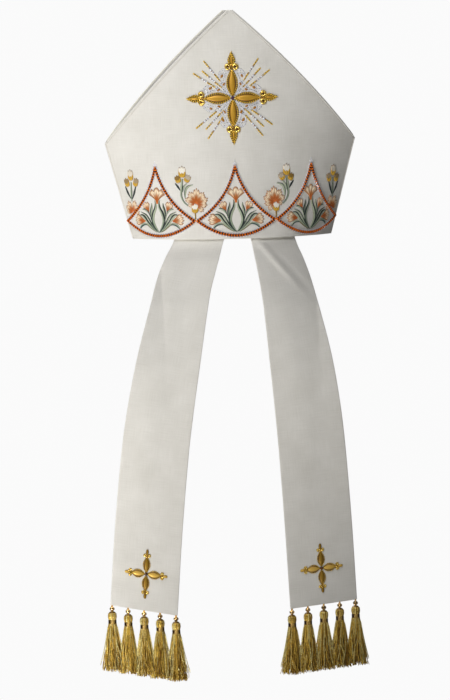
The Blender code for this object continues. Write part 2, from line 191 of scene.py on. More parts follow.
def make_floor():
    height = CAD_BOX[0][2] - FLOOR_DROP
    square = ((-1, -1), (1, -1), (1, 1), (-1, 1))
    corners = [(x * FLOOR_REACH, y * FLOOR_REACH, height) for x, y in square]
    mesh = bpy.data.meshes.new("floor")
    mesh.from_pydata(corners, [], [(0, 1, 2, 3)])
    paint, tree, shader = new_material("floor_paint", Base_Color=FLOOR_GREY, Roughness=0.9)
    seen = add_node(tree, "ShaderNodeEmission", {"Color": SEEN_WHITE})
    show_apart(tree, shader.outputs[0], seen.outputs[0], "Material Output")
    mesh.materials.append(paint)
    placed("floor", mesh)


bpy.context.scene.view_settings.view_transform = "Standard"
make_world()
make_floor()

# %% [markdown]
# ## The shape of a stiff panel
# Each panel is a sheet that is arched round the head: any level cut through it is an arc
# that passes through both side seams. So a spot on it needs only two numbers, how far
# across the cloth it is from the middle and how high it is. The formulas are the CAD's.

# %% The panel's formulas
BACK_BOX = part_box("back_panel")
APEX_HEIGHT = BACK_BOX[1][2]
CORNER_HALF_WIDTH = 0.1568
CORNER_HEIGHT = 0.1190
RIM_HALF_WIDTH = 0.1245
RIM_BOW = 0.0670
APEX_BOW = 0.0320
EDGE_BULGE = 0.0050
APEX_HALF_WIDTH = 0.0020
PANEL_WALL = 0.0025
SEAM_GAP = 0.0003
BACK, FRONT = -1, 1


def half_width_at(height):
    return RIM_HALF_WIDTH + (CORNER_HALF_WIDTH - RIM_HALF_WIDTH) * height / CORNER_HEIGHT


def bow_at(height):
    return RIM_BOW + (APEX_BOW - RIM_BOW) * height / APEX_HEIGHT


def arc_radius(height):
    half = half_width_at(height)
    bow = bow_at(height)
    return (half**2 + bow**2) / (2 * bow)


def arc_centre(height):
    return arc_radius(height) - bow_at(height)


def seam_angle(height, depth):
    return np.arccos((arc_centre(height) + SEAM_GAP / 2) / (arc_radius(height) - depth))


def edge_angle(half, height, depth):
    """Where a level cut through a panel ends: at its edge, or at the seam if that is nearer."""
    angle = np.arcsin(np.minimum(half / arc_radius(height), 1.0))
    return np.minimum(angle, seam_angle(height, depth))


def on_panel(across, height, proud, side):
    """Points on a panel, as an array of x, y and z."""
    across, height, proud = np.broadcast_arrays(across, height, proud)
    radius = arc_radius(height)
    angle = across / radius
    x = (radius + proud) * np.sin(angle)
    y = (radius + proud) * np.cos(angle) - arc_centre(height)
    return np.stack([x, side * y, height], axis=-1)


def upper_edge(share):
    """Half width and height on the upper edge, from the side corner to the apex."""
    run = CORNER_HALF_WIDTH - APEX_HALF_WIDTH
    rise = APEX_HEIGHT - CORNER_HEIGHT
    length = math.hypot(run, rise)
    bulge = EDGE_BULGE * 4 * share * (1 - share)
    half = CORNER_HALF_WIDTH - run * share + bulge * rise / length
    return half, CORNER_HEIGHT + rise * share + bulge * run / length


print("rim arc length", round(float(2 * seam_angle(0.0, 0.0) * arc_radius(0.0)), 4))

# %% [markdown]
# ## Helpers that make meshes
# A grid of points becomes a sheet, two grids become a closed wall. Every mesh carries a
# UV map in metres, so a weave or a stitch has the same scale on every piece.

# %% Mesh helpers
def colour_points(mesh, colours):
    """Gives each point of a mesh its thread's colour."""
    layer = mesh.color_attributes.new("thread", "FLOAT_COLOR", "POINT")
    full = np.ones((len(mesh.vertices), 4), np.float32)
    full[:, :3] = colours
    layer.data.foreach_set("color", full.ravel())


def new_object(name, points, faces, material, uvs, colours=None):
    """Makes an object at the origin. uvs and colours hold one row for each point."""
    mesh = bpy.data.meshes.new(name)
    mesh.from_pydata(np.asarray(points, float).tolist(), [], [tuple(map(int, f)) for f in faces])
    corner_points = np.empty(len(mesh.loops), np.int32)
    mesh.loops.foreach_get("vertex_index", corner_points)
    layer = mesh.uv_layers.new(name="cloth_metres")
    layer.data.foreach_set("uv", np.asarray(uvs, np.float32)[corner_points].ravel())
    if colours is not None:
        colour_points(mesh, colours)
    mesh.update()
    mesh.shade_smooth()
    mesh.materials.append(material)
    return placed(name, mesh)


def finished(obj):
    """Applies an object's modifiers by taking its evaluated mesh."""
    graph = bpy.context.evaluated_depsgraph_get()
    mesh = bpy.data.meshes.new_from_object(obj.evaluated_get(graph), depsgraph=graph)
    old = obj.data
    obj.modifiers.clear()
    obj.data = mesh
    bpy.data.meshes.remove(old)
    mesh.name = obj.name
    return obj


def wall(outer, inner):
    """Points and faces of a closed wall between two grids, and each point's grid place."""
    rows, columns = outer.shape[:2]
    points = np.concatenate([outer.reshape(-1, 3), inner.reshape(-1, 3)])
    place = np.arange(rows * columns).reshape(rows, columns)
    a, b = place[:-1, :-1].ravel(), place[:-1, 1:].ravel()
    c, d = place[1:, 1:].ravel(), place[1:, :-1].ravel()
    shift = rows * columns
    faces = np.stack([a, b, c, d], axis=1).tolist()
    faces += np.stack([d + shift, c + shift, b + shift, a + shift], axis=1).tolist()
    rim = place[0, :].tolist() + place[1:, -1].tolist()
    rim += place[-1, -2::-1].tolist() + place[-2:0:-1, 0].tolist()
    for start, end in zip(rim, rim[1:] + rim[:1]):
        faces.append((end, start, start + shift, end + shift))
    return points, faces


def ring_faces(rows, columns, first=0):
    """Faces of a closed form made of rings, with a cap at each end."""
    place = np.arange(rows * columns).reshape(rows, columns) + first
    after = np.roll(place, -1, axis=1)
    faces = np.stack([place[:-1], after[:-1], after[1:], place[1:]], axis=-1).reshape(-1, 4).tolist()
    return faces + [tuple(place[0, ::-1]), tuple(place[-1])]


def outwards(obj):
    """Turns a closed mesh's faces outwards."""
    shell = bmesh.new()
    shell.from_mesh(obj.data)
    bmesh.ops.recalc_face_normals(shell, faces=shell.faces)
    shell.to_mesh(obj.data)
    shell.free()
    return obj


def dressed(obj, slot, *nodes):
    """Fixes a finished piece to the part, and hides the CAD nodes that it stands for."""
    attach(obj, "root")
    if nodes:
        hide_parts(*nodes)
    triangles = sum(len(p.vertices) - 2 for p in obj.data.polygons)
    print(f"{obj.name}: {triangles} triangles")
    return obj


def cloth_wall(node, outer, inner, flat, cloth, slot, rounding, segments=2):
    """A closed wall of cloth with a rounded rim, in the place of its CAD node."""
    points, faces = wall(outer, inner)
    uvs = np.concatenate([flat.reshape(-1, 2), flat.reshape(-1, 2)])
    piece = outwards(new_object(f"{node}_cloth", points, faces, cloth, uvs))
    bevel = piece.modifiers.new("rounded_edge", "BEVEL")
    bevel.width = rounding
    bevel.segments = segments
    bevel.limit_method = "ANGLE"
    bevel.angle_limit = math.radians(50)
    finished(piece).data.shade_smooth()
    return dressed(piece, slot, node)


# %% [markdown]
# ## Cream cloth
# A dull, tightly woven wool-like cloth with a little slub: some warp and weft threads are
# thicker than their neighbours and catch the light as fine streaks. The weave itself is
# bump on the UV map, which is in metres, and the streaks are noise stretched along each
# direction. The slightly fuzzy surface is a touch of sheen.

# %% Cloth materials
THREAD_PITCH = 0.00055


def math_node(tree, operation, first, second=0.0):
    return add_node(tree, "ShaderNodeMath", {0: first, 1: second}, operation=operation).outputs[0]


def map_range(tree, value, low, high, to_low=0.0, to_high=1.0):
    values = {"Value": value, "From Min": low, "From Max": high, "To Min": to_low, "To Max": to_high}
    return add_node(tree, "ShaderNodeMapRange", values).outputs["Result"]


def mixed_colour(tree, share, first, second):
    values = {"Factor": share, "A": (*first, 1), "B": (*second, 1)}
    return add_node(tree, "ShaderNodeMix", values, data_type="RGBA").outputs["Result"]


def stretched_noise(tree, across, along, detail=3.0):
    """Noise on the UV map whose grains are wide one way and fine the other, for slubs."""
    uv = add_node(tree, "ShaderNodeUVMap", uv_map="cloth_metres").outputs["UV"]
    place = add_node(tree, "ShaderNodeMapping", {"Scale": (across, along, 1), "Vector": uv})
    values = {"Scale": 1.0, "Detail": detail, "Vector": place.outputs["Vector"]}
    return add_node(tree, "ShaderNodeTexNoise", values).outputs["Fac"]


def join_shader(tree, shader, colour, relief, strength, distance):
    """Joins a shader's colour, and its relief as bump."""
    bump = add_node(tree, "ShaderNodeBump", {"Strength": strength, "Distance": distance, "Height": relief})
    tree.links.new(bump.outputs["Normal"], shader.inputs["Normal"])
    tree.links.new(colour, shader.inputs["Base Color"])


def make_cloth(name, light_colour, dark_colour, streak=1.0, fuzz=0.25):
    material, tree, shader = new_material(
        name, Roughness=0.86, Specular_IOR_Level=0.25, Sheen_Weight=fuzz, Sheen_Roughness=0.5
    )
    uv = add_node(tree, "ShaderNodeUVMap", uv_map="cloth_metres").outputs["UV"]
    parts = add_node(tree, "ShaderNodeSeparateXYZ", {0: uv}).outputs
    turns = 2 * math.pi / THREAD_PITCH
    warp, weft = (math_node(tree, "SINE", math_node(tree, "MULTIPLY", parts[i], turns)) for i in (0, 1))
    weave = math_node(tree, "MULTIPLY", warp, weft)
    slub = math_node(tree, "ADD", stretched_noise(tree, 1500, 45), stretched_noise(tree, 45, 1500))
    tone = math_node(tree, "MULTIPLY", slub, 0.8 * streak)
    tone = math_node(tree, "ADD", tone, stretched_noise(tree, 30, 30, 2.0))
    colour = mixed_colour(tree, map_range(tree, tone, 0.9, 1.7), dark_colour, light_colour)
    relief = math_node(tree, "ADD", weave, math_node(tree, "MULTIPLY", slub, 2.2 * streak))
    join_shader(tree, shader, colour, relief, 0.35, 0.00022)
    return material


cream_cloth = make_cloth("cream_cloth", (0.84, 0.815, 0.755), (0.71, 0.685, 0.62))
# The crown's lining has a lilac tint of its own, and is darker than the panels' cloth: painted shade for the
# hollow between the horns.
crown_cloth = make_cloth("crown_cloth", (0.70, 0.67, 0.67), (0.58, 0.56, 0.56), fuzz=0.1)
edge_cloth = make_cloth("edge_cloth", (0.84, 0.82, 0.75), (0.76, 0.73, 0.66), streak=0.4)
# A paler cream, for the front panel's piping only: a painted highlight on that edge.
piping_cloth_painted_highlight = make_cloth("piping_cloth_painted_highlight", (0.97, 0.95, 0.83), (0.90, 0.87, 0.74), streak=0.3)

# %% [markdown]
# ## The two stiff panels
# On the real mitre each panel is cloth over buckram, turned over at its edges. The grid
# follows the CAD's arcs with many more rows and columns, so its outline is smooth, and
# a low wave of a few tenths of a millimetre keeps the face from looking like sheet metal.

# %% Make the panels
PANEL_COLUMNS = 96
PANEL_LOW_ROWS = 36
PANEL_HIGH_ROWS = 60
PANEL_FACE_WAVE = 0.00012
PANEL_CALM_RIM = 0.02
PANEL_ROUNDING = 0.0006


def panel_rows():
    """Heights and half widths, from the rim to the apex."""
    low = CORNER_HEIGHT * np.arange(PANEL_LOW_ROWS) / PANEL_LOW_ROWS
    half, high = upper_edge(np.arange(PANEL_HIGH_ROWS + 1) / PANEL_HIGH_ROWS)
    return np.stack([np.append(low, high), np.append(half_width_at(low), half)], axis=1)


def make_panel(node, side):
    rows = panel_rows()
    height, half = rows[:, :1], rows[:, 1:]
    share = np.linspace(-1, 1, PANEL_COLUMNS + 1)[None, :]
    radius = arc_radius(height)
    grids, places = [], []
    for depth in (0.0, PANEL_WALL):
        across = share * edge_angle(half, height, depth) * radius
        wave = np.sin(across * 61 + height * 23) * np.sin(height * 47 - across * 17)
        calm = np.clip((1 - np.abs(share)) * 6, 0, 1) * np.clip(height / PANEL_CALM_RIM, 0, 1)
        grids.append(on_panel(across, height, PANEL_FACE_WAVE * wave * calm - depth, side))
        places.append(np.stack([across, height + 0 * across], axis=-1))
    panel = cloth_wall(node, *grids, places[0], cream_cloth, "cream_cloth", PANEL_ROUNDING)


make_panel("back_panel", BACK)
make_panel("front_panel", FRONT)

# %% [markdown]
# ## The crown's cloth
# Between the two horns a softer cloth hangs like a saddle: it is sewn along both upper
# edges and sinks to a valley from side corner to side corner. A few shallow waves run
# down its flaps, as in any cloth that is not pulled tight.

# %% Make the crown's cloth
GUSSET_WALL = 0.0015
GUSSET_SAG = 0.0060
GUSSET_EDGE_DROP = 0.0015
GUSSET_CLEARANCE = 0.0006
GUSSET_ROUNDING = 1.25
GUSSET_END_SHARE = 0.055
GUSSET_WAVE = 0.0007
GUSSET_WAVES = 190
GUSSET_COLUMNS, GUSSET_ROWS = 120, 64
GUSSET_RIM_ROUNDING = 0.0004


def make_gusset():
    place = np.linspace(-1, 1, GUSSET_COLUMNS + 1)
    down = np.linspace(-1, 1, GUSSET_ROWS + 1)
    share = 1 + (GUSSET_END_SHARE - 1) * np.abs(place) ** 0.8
    half, height = upper_edge(share)
    x = np.sign(place) * (half - APEX_HALF_WIDTH)
    radius = arc_radius(height) - PANEL_WALL
    depth = np.sqrt(radius**2 - x**2) - arc_centre(height) - GUSSET_CLEARANCE
    valley = CORNER_HEIGHT - GUSSET_SAG * (1 - (x / CORNER_HALF_WIDTH) ** 2)
    rise = np.abs(down[None, :]) ** GUSSET_ROUNDING
    drape = np.sin(x * GUSSET_WAVES)[:, None] * (1 - np.abs(down)) * np.minimum(np.abs(down) * 3, 1)
    inside = np.maximum(depth - GUSSET_WALL, 0)[:, None]
    edge = (height - GUSSET_EDGE_DROP)[:, None]
    z = valley[:, None] + (edge - valley[:, None]) * rise
    y = down[None, :] * inside * (1 - 0.02 * np.abs(drape))
    top = np.stack([x[:, None] + 0 * z, y, z + GUSSET_WAVE * drape * inside / depth.max()], axis=-1)
    under = np.stack([x[:, None] + 0 * z, down * depth[:, None], z - GUSSET_WALL * (1 - rise)], axis=-1)
    lengths = np.linalg.norm(np.diff(top, axis=1), axis=-1).cumsum(axis=1)
    along = np.concatenate([np.zeros((len(x), 1)), lengths], axis=1) - lengths[:, -1:] / 2
    flat = np.stack([x[:, None] + 0 * along, along], axis=-1)
    gusset = cloth_wall("crown_gusset", top, under, flat, crown_cloth, "crown_cloth", GUSSET_RIM_ROUNDING)


make_gusset()

# %% [markdown]
# ## The lappets' route
# A lappet is a doubled strip, sewn inside the back rim, that fans out and falls down
# behind. A short table says how far each stretch has swung sideways, widened and
# left the panel's curve. The values are the CAD's, so the cloth lies where its solid is.

# %% The lappets' formulas
LAPPET_DROP = 0.4505
LAPPET_TUCK = 0.0250
LAPPET_TOP_WIDTH = 0.0550
LAPPET_WIDTH = 0.0832
LAPPET_WALL = 0.0025
LAPPET_CLEARANCE = 0.0006
LAPPET_REACH = 0.1150
LAPPET_MOST_HUG = 0.0950
LAPPET_PLACES = {"left": (-0.0456, -0.1292), "right": (0.0452, 0.0926)}
LAPPET_ROWS = (
    # drop, swing, spread, hug, square
    (0.000, 0.000, 0.00, 1.00, 0.00),
    (0.027, 0.062, 0.06, 0.93, 0.00),
    (0.062, 0.145, 0.20, 0.76, 0.30),
    (0.120, 0.265, 0.36, 0.54, 0.65),
    (0.187, 0.365, 0.50, 0.33, 0.90),
    (0.318, 0.538, 0.78, 0.10, 1.00),
    (0.433, 0.665, 0.91, 0.02, 1.05),
    (0.555, 0.770, 0.97, 0.00, 1.20),
    (0.778, 0.902, 1.00, 0.00, 1.90),
    (1.000, 1.000, 1.00, 0.00, 2.40),
)


def table_value(column, share):
    """Reads a column of the lappets' table, with smooth bends, as the CAD does."""
    table = np.array(LAPPET_ROWS)
    share = np.asarray(share, float)
    last = len(table) - 1
    i = np.clip(np.searchsorted(table[:, 0], share, side="left") - 1, 0, last - 1)
    low, high = np.maximum(i - 1, 0), np.minimum(i + 2, last)
    span = table[i + 1, 0] - table[i, 0]
    t = (share - table[i, 0]) / span
    slope_start = (table[i + 1, column] - table[low, column]) / (table[i + 1, 0] - table[low, 0]) * span
    slope_end = (table[high, column] - table[i, column]) / (table[high, 0] - table[i, 0]) * span
    return (
        (2 * t**3 - 3 * t**2 + 1) * table[i, column]
        + (t**3 - 2 * t**2 + t) * slope_start
        + (3 * t**2 - 2 * t**3) * table[i + 1, column]
        + (t**3 - t**2) * slope_end
    )


def lappet_centre(which, drop):
    start, end = LAPPET_PLACES[which]
    above = drop * LAPPET_ROWS[1][1] / LAPPET_ROWS[1][0]
    swing = np.where(drop >= 0, table_value(1, np.maximum(drop, 0)), above)
    return start + (end - start) * swing, -LAPPET_DROP * drop


def lappet_lean(which, drop):
    """Sideways and upward parts of the line square across a lappet."""
    step = LAPPET_ROWS[1][0] / 2
    upper = lappet_centre(which, np.where(drop < 1, drop - step, 1 - 2 * step))
    lower = lappet_centre(which, np.minimum(drop + step, 1.0))
    run, fall = lower[0] - upper[0], upper[1] - lower[1]
    length = np.hypot(run, fall)
    return fall / length, run / length


def on_lappet(which, drop, across, proud):
    """Points on a lappet: a share of its drop, metres from its centre line, metres out."""
    drop, across, proud = np.broadcast_arrays(np.asarray(drop, float), across, proud)
    x, z = lappet_centre(which, drop)
    side, up = lappet_lean(which, drop)
    square = table_value(4, np.maximum(drop, 0))
    x = x + across * (side + (1 - square) * up * up / side)
    z = z + across * up * square
    hug = table_value(3, np.clip(-z / LAPPET_DROP, 0, 1))
    height = np.maximum(z, -LAPPET_TUCK)
    near_x = np.minimum(np.abs(x), LAPPET_MOST_HUG)
    radius = arc_radius(height) - PANEL_WALL - LAPPET_CLEARANCE
    near = np.sqrt(radius**2 - near_x**2) - arc_centre(height)
    y = -(LAPPET_REACH + (near - LAPPET_REACH) * hug) - proud
    return np.stack([x, y, z], axis=-1)


def lappet_half_width(drop):
    spread = table_value(2, np.maximum(drop, 0))
    return (LAPPET_TOP_WIDTH + (LAPPET_WIDTH - LAPPET_TOP_WIDTH) * spread) / 2


# %% [markdown]
# ## The lappets' cloth
# The strip keeps the route, with soft dents where it leaves the rim and a rolled edge.
# Each dent is a smooth bump of a few millimetres at most, pressed into both faces alike.

# %% Make the lappets
LAPPET_LAYERS = 0.0022
LAPPET_ROUNDING = 0.0008
LAPPET_LENGTHWAYS, LAPPET_SIDEWAYS = 230, 41


def make_lappet(which, dents):
    """dents: rows of drop, across share, length, width, depth and slant, in metres."""
    drop = np.linspace(-LAPPET_TUCK / LAPPET_DROP, 1, LAPPET_LENGTHWAYS)[:, None]
    share = np.linspace(-1, 1, LAPPET_SIDEWAYS)[None, :]
    across = share * lappet_half_width(drop)
    pressed = np.zeros_like(across)
    for at_drop, at_across, long, wide, depth, slant in dents:
        down = (drop - at_drop) * LAPPET_DROP
        aside = across - at_across - slant * down
        pressed = pressed + depth * np.exp(-((down / long) ** 2) - (aside / wide) ** 2)
    below = np.clip(drop * LAPPET_DROP / 0.01, 0, 1) * np.clip((0.82 - drop) / 0.1, 0, 1)
    pressed = pressed * below
    outer = on_lappet(which, drop, across, pressed)
    inner = on_lappet(which, drop, across, pressed - LAPPET_LAYERS)
    flat = np.stack([across, drop * LAPPET_DROP + 0 * across], axis=-1)
    strip = cloth_wall(f"lappet_{which}", outer, inner, flat, cream_cloth, "cream_cloth", LAPPET_ROUNDING, 3)


LEFT_DENTS = (
    # drop, across, length, width, depth, slant
    (0.10, -0.020, 0.050, 0.012, 0.0018, 0.15),
    (0.30, 0.012, 0.090, 0.016, -0.0010, 0.05),
    (0.62, -0.010, 0.120, 0.020, 0.0010, 0.00),
)
RIGHT_DENTS = (
    # drop, across, length, width, depth, slant
    (0.055, -0.006, 0.030, 0.006, 0.0030, 0.55),
    (0.075, 0.006, 0.028, 0.005, -0.0026, 0.60),
    (0.34, -0.008, 0.100, 0.018, 0.0012, 0.05),
    (0.70, 0.014, 0.120, 0.020, -0.0010, 0.00),
)
make_lappet("left", LEFT_DENTS)
make_lappet("right", RIGHT_DENTS)

# %% [markdown]
# ## Threads
# Embroidery silk and metal thread are laid side by side, so their light runs across the
# ridges. Each stitched form carries its thread's colour as an attribute and a UV map whose
# first number runs along the form, so fine ridges lie across it. One set of nodes makes
# both silk and gold, with other gloss and metal values.

# %% Thread materials
def own_colour(tree, noise, least, most):
    """The piece's own thread colour, dimmed and raised by noise."""
    colour = add_node(tree, "ShaderNodeAttribute", attribute_name="thread").outputs["Color"]
    values = {0: colour, "Scale": map_range(tree, noise, 0.3, 0.7, least, most)}
    return add_node(tree, "ShaderNodeVectorMath", values, operation="SCALE").outputs["Vector"]


def make_thread(name, roughness, metallic, ridge, shade=0.25, sheen=0.0):
    material, tree, shader = new_material(
        name, Roughness=roughness, Metallic=metallic, Sheen_Weight=sheen
    )
    strands = stretched_noise(tree, 1 / ridge, 90, 2.0)
    join_shader(tree, shader, own_colour(tree, strands, 1 - shade, 1 + shade), strands, 0.5, ridge * 0.4)
    return material


gold_thread = make_thread("gold_thread", 0.34, 0.85, 0.00035)
petal_thread = make_thread("petal_thread", 0.55, 0.0, 0.00035, sheen=0.05)
leaf_thread = make_thread("leaf_thread", 0.5, 0.0, 0.00035, sheen=0.15)

GOLD = (0.78, 0.47, 0.10)
# A dark gold used as painted shade at the sides of padded forms.
GOLD_PAINTED_SHADE = (0.24, 0.11, 0.01)
BROWN = (0.16, 0.07, 0.015)
SILVER = (0.93, 0.93, 0.98)
# The grey that silver stitches dim to is painted shade.
SILVER_PAINTED_SHADE = (0.15, 0.16, 0.19)

# %% [markdown]
# ## Satin-stitched forms
# A leaf, a petal or a padded gold almond is one form: a spine, a half width at each place
# on it, and a rounded back. Each is drawn flat in millimetres and then laid on the arched
# panel or the lappet. The back closes just under the cloth's face, so every form is a
# closed shell. A trumpet flower is the same idea with ribs that open from a throat.

# %% The needlework builder
SUNK_MM = 0.15


def smooth_path(knots, count, closed=False):
    """Points of an even curve through the knots, all as arrays of two columns."""
    knots = np.asarray(knots, float)
    if closed:
        ring = np.vstack([knots[-1:], knots, knots[:2]])
    else:
        first, last = 2 * knots[0] - knots[1], 2 * knots[-1] - knots[-2]
        ring = np.vstack([first, knots, last])
    fine = []
    for a, b, c, d in zip(ring, ring[1:], ring[2:], ring[3:]):
        t = np.linspace(0, 1, 13)[:-1, None]
        fine.append(
            0.5 * (2 * b + (c - a) * t + (2 * a - 5 * b + 4 * c - d) * t**2 + (3 * b - a - 3 * c + d) * t**3)
        )
    fine = np.vstack(fine + [ring[-2:-1]])
    run = run_of(fine)
    even = np.linspace(0, run[-1], count + 1 if closed else count)
    line = np.stack([np.interp(even, run, fine[:, i]) for i in range(2)], axis=1)
    return line[:-1] if closed else line


def sideways(line, closed=False):
    """Unit vectors to the left of each step of a flat line."""
    if closed:
        step = np.roll(line, -1, axis=0) - np.roll(line, 1, axis=0)
    else:
        step = np.gradient(line, axis=0)
    step = step / np.linalg.norm(step, axis=1, keepdims=True)
    return np.stack([-step[:, 1], step[:, 0]], axis=1)


def forwards(left):
    """The way a line runs, from its unit vectors to the left."""
    return np.stack([left[:, 1], -left[:, 0]], axis=1)


def run_of(line):
    """How far along a line each of its points lies."""
    return np.concatenate([[0], np.cumsum(np.linalg.norm(np.diff(line, axis=0), axis=1))])


def blend(first, second, share):
    share = np.clip(np.asarray(share, float), 0, 1)[..., None]
    return np.asarray(first) * (1 - share) + np.asarray(second) * share


def step_up(value, low, high):
    t = np.clip((value - low) / (high - low), 0, 1)
    return t * t * (3 - 2 * t)


class Needlework:
    """Collects stitched forms in flat millimetres and lays them on the cloth as one piece."""

    def __init__(self, lay):
        self.lay = lay
        self.parts = []
        self.count = 0

    def ring_form(self, flat, proud, uv, colour):
        """flat, proud and the rest are grids: one row for each section, closed round."""
        rows, columns = proud.shape
        faces = ring_faces(rows, columns, self.count)
        points = self.lay(flat[..., 0] * MM, flat[..., 1] * MM, proud * MM)
        colour = np.broadcast_to(colour, (rows, columns, 3))
        self.parts.append((points.reshape(-1, 3), faces, uv.reshape(-1, 2) * MM, colour.reshape(-1, 3)))
        self.count += rows * columns

    def satin(self, knots, widths, relief, colours, rows=14, columns=9, slant=0.0, base=0.0):
        """A strip of satin stitch. widths: half widths, spread evenly along the spine.
        colours: one colour, or a function of the shares along and across."""
        line = smooth_path(knots, rows)
        left = sideways(line)
        share = np.linspace(0, 1, rows)
        half = np.interp(share, np.linspace(0, 1, len(widths)), widths)
        across = np.linspace(-1, 1, columns)
        along = run_of(line)
        flat = line[:, None] - left[:, None] * (half[:, None] * across)[..., None]
        crown = (1 - across**2)[None, :] ** 0.6 * np.minimum(half / max(widths), 1)[:, None] ** 0.5
        proud = base + relief * crown
        proud[:, [0, -1]] = -SUNK_MM
        uv = np.stack([along[:, None] + slant * half[:, None] * across, half[:, None] * across], axis=-1)
        if callable(colours):
            colours = colours(share[:, None] + 0 * across, across[None, :] + 0 * share[:, None])
        self.ring_form(flat, proud, uv, colours)

    def make(self, name, material):
        points = np.vstack([part[0] for part in self.parts])
        faces = [face for part in self.parts for face in part[1]]
        uvs = np.vstack([part[2] for part in self.parts])
        colours = np.vstack([part[3] for part in self.parts])
        return outwards(new_object(name, points, faces, material, uvs, colours))


def back_lay(side, middle=0.0, mirror=1, level=0.0):
    """Lays flat work on a panel, with its zero at a distance across and a height."""

    def lay(u, z, proud):
        return on_panel(middle + mirror * u, level + z, proud, side)

    return lay


# %% [markdown]
# ## Small shapes laid along a line
# Stones and outline stitches repeat hundreds of times, so Geometry Nodes sets them. A bare
# mesh gives one point for each, with two arrows: along the line, and out of the cloth. The
# tree turns one small shape to the arrows, sizes it by the point's own size, and realises
# the lot. The result is taken as a plain mesh.

# %% The laying tree
def point_mesh(points, along, out, size, tone):
    """A mesh of loose points, each with its arrows, size and tone."""
    mesh = bpy.data.meshes.new("places")
    mesh.from_pydata(np.asarray(points).tolist(), [], [])
    for name, kind, values in (
        ("along", "FLOAT_VECTOR", along),
        ("out", "FLOAT_VECTOR", out),
        ("size", "FLOAT_VECTOR", size),
        ("tone", "FLOAT", tone),
    ):
        layer = mesh.attributes.new(name, kind, "POINT")
        field = "value" if kind == "FLOAT" else "vector"
        layer.data.foreach_set(field, np.asarray(values, np.float32).ravel())
    return mesh


def new_tree(name, *sockets):
    """A Geometry Nodes tree with its named inputs. Returns it and the sockets they feed."""
    tree = bpy.data.node_groups.new(name, "GeometryNodeTree")
    tree.is_modifier = True
    for label, kind in (("Geometry", "Geometry"), ("Finish", "Material"), *sockets):
        tree.interface.new_socket(label, in_out="INPUT", socket_type="NodeSocket" + kind)
    tree.interface.new_socket("Geometry", in_out="OUTPUT", socket_type="NodeSocketGeometry")
    return tree, tree.nodes.new("NodeGroupInput").outputs


def end_tree(tree, geometry, inputs, smooth=True):
    """Makes the instances real and gives them their shading and finish."""
    real = add_node(tree, "GeometryNodeRealizeInstances", {0: geometry})
    shade = add_node(tree, "GeometryNodeSetShadeSmooth", {0: real.outputs[0], "Shade Smooth": smooth})
    finish = {"Geometry": shade.outputs[0], "Material": inputs["Finish"]}
    add_node(tree, "NodeGroupOutput", {0: add_node(tree, "GeometryNodeSetMaterial", finish).outputs[0]})
    return tree


def named(tree, name):
    node = add_node(tree, "GeometryNodeInputNamedAttribute", {"Name": name}, data_type="FLOAT_VECTOR")
    return node.outputs["Attribute"]


def stone_shape(tree, inputs):
    """A table-cut stone one unit long: a square girdle under a crown that slopes in."""
    girdle = add_node(tree, "GeometryNodeMeshCube", {"Size": (1, 1, 0.5)}).outputs["Mesh"]
    low = add_node(tree, "GeometryNodeTransform", {"Geometry": girdle, "Translation": (0, 0, 0.25)})
    cone = {"Vertices": 4, "Radius Bottom": math.sqrt(0.5), "Radius Top": inputs["Table"], "Depth": 0.5}
    crown = add_node(tree, "GeometryNodeMeshCone", cone).outputs["Mesh"]
    raised = {"Geometry": crown, "Translation": (0, 0, 0.5), "Rotation": (0, 0, math.pi / 4)}
    high = add_node(tree, "GeometryNodeTransform", raised)
    both = add_node(tree, "GeometryNodeJoinGeometry", {0: low.outputs[0]})
    tree.links.new(high.outputs[0], both.inputs[0])
    return both.outputs[0]


def stitch_shape(tree, inputs):
    """One stitch, bead or knot a unit long: a small closed ball that the size stretches."""
    values = {"Radius": 0.5, "Segments": inputs["Segments"], "Rings": inputs["Rings"]}
    return add_node(tree, "GeometryNodeMeshUVSphere", values).outputs["Mesh"]


def laying_tree(name, shape, smooth, *extra):
    tree, inputs = new_tree(name, ("Unevenness", "Float"), ("Seed", "Int"), *extra)
    axes = {"Primary Axis": named(tree, "out"), "Secondary Axis": named(tree, "along")}
    turn = add_node(tree, "FunctionNodeAxesToRotation", axes, primary_axis="Z", secondary_axis="X")
    least = math_node(tree, "SUBTRACT", 1.0, inputs["Unevenness"])
    most = math_node(tree, "ADD", 1.0, inputs["Unevenness"])
    chance = {2: least, 3: most, "Seed": inputs["Seed"]}
    uneven = add_node(tree, "FunctionNodeRandomValue", chance, data_type="FLOAT")
    grow = {0: named(tree, "size"), "Scale": uneven.outputs[1]}
    size = add_node(tree, "ShaderNodeVectorMath", grow, operation="SCALE").outputs["Vector"]
    places = {"Points": inputs["Geometry"], "Instance": shape(tree, inputs)}
    laid = add_node(
        tree, "GeometryNodeInstanceOnPoints", {**places, "Rotation": turn.outputs["Rotation"], "Scale": size}
    )
    return end_tree(tree, laid.outputs["Instances"], inputs, smooth)


def grown(name, mesh, tree, values):
    """Runs a tree on a mesh and keeps what it makes as a plain mesh."""
    piece = placed(name, mesh)
    grow = piece.modifiers.new("grow", "NODES")
    grow.node_group = tree
    for socket in tree.interface.items_tree:
        if socket.in_out == "INPUT" and socket.name in values:
            grow[socket.identifier] = values[socket.name]
    piece.update_tag()
    return finished(piece)


STONE_TREE = laying_tree("lay_stones", stone_shape, False, ("Table", "Float"))
STITCH_TREE = laying_tree("lay_stitches", stitch_shape, True, ("Segments", "Int"), ("Rings", "Int"))


def arrows(lay, flat, direction):
    """Points on the cloth, with the arrow along a flat direction and the arrow outwards."""
    reach = 0.02 * MM
    spot = lay(flat[:, 0] * MM, flat[:, 1] * MM, 0.0)
    ahead = lay(flat[:, 0] * MM + direction[:, 0] * reach, flat[:, 1] * MM + direction[:, 1] * reach, 0.0)
    out = lay(flat[:, 0] * MM, flat[:, 1] * MM, reach)
    along, up = ahead - spot, out - spot
    along /= np.linalg.norm(along, axis=1, keepdims=True)
    up /= np.linalg.norm(up, axis=1, keepdims=True)
    return spot, along, up


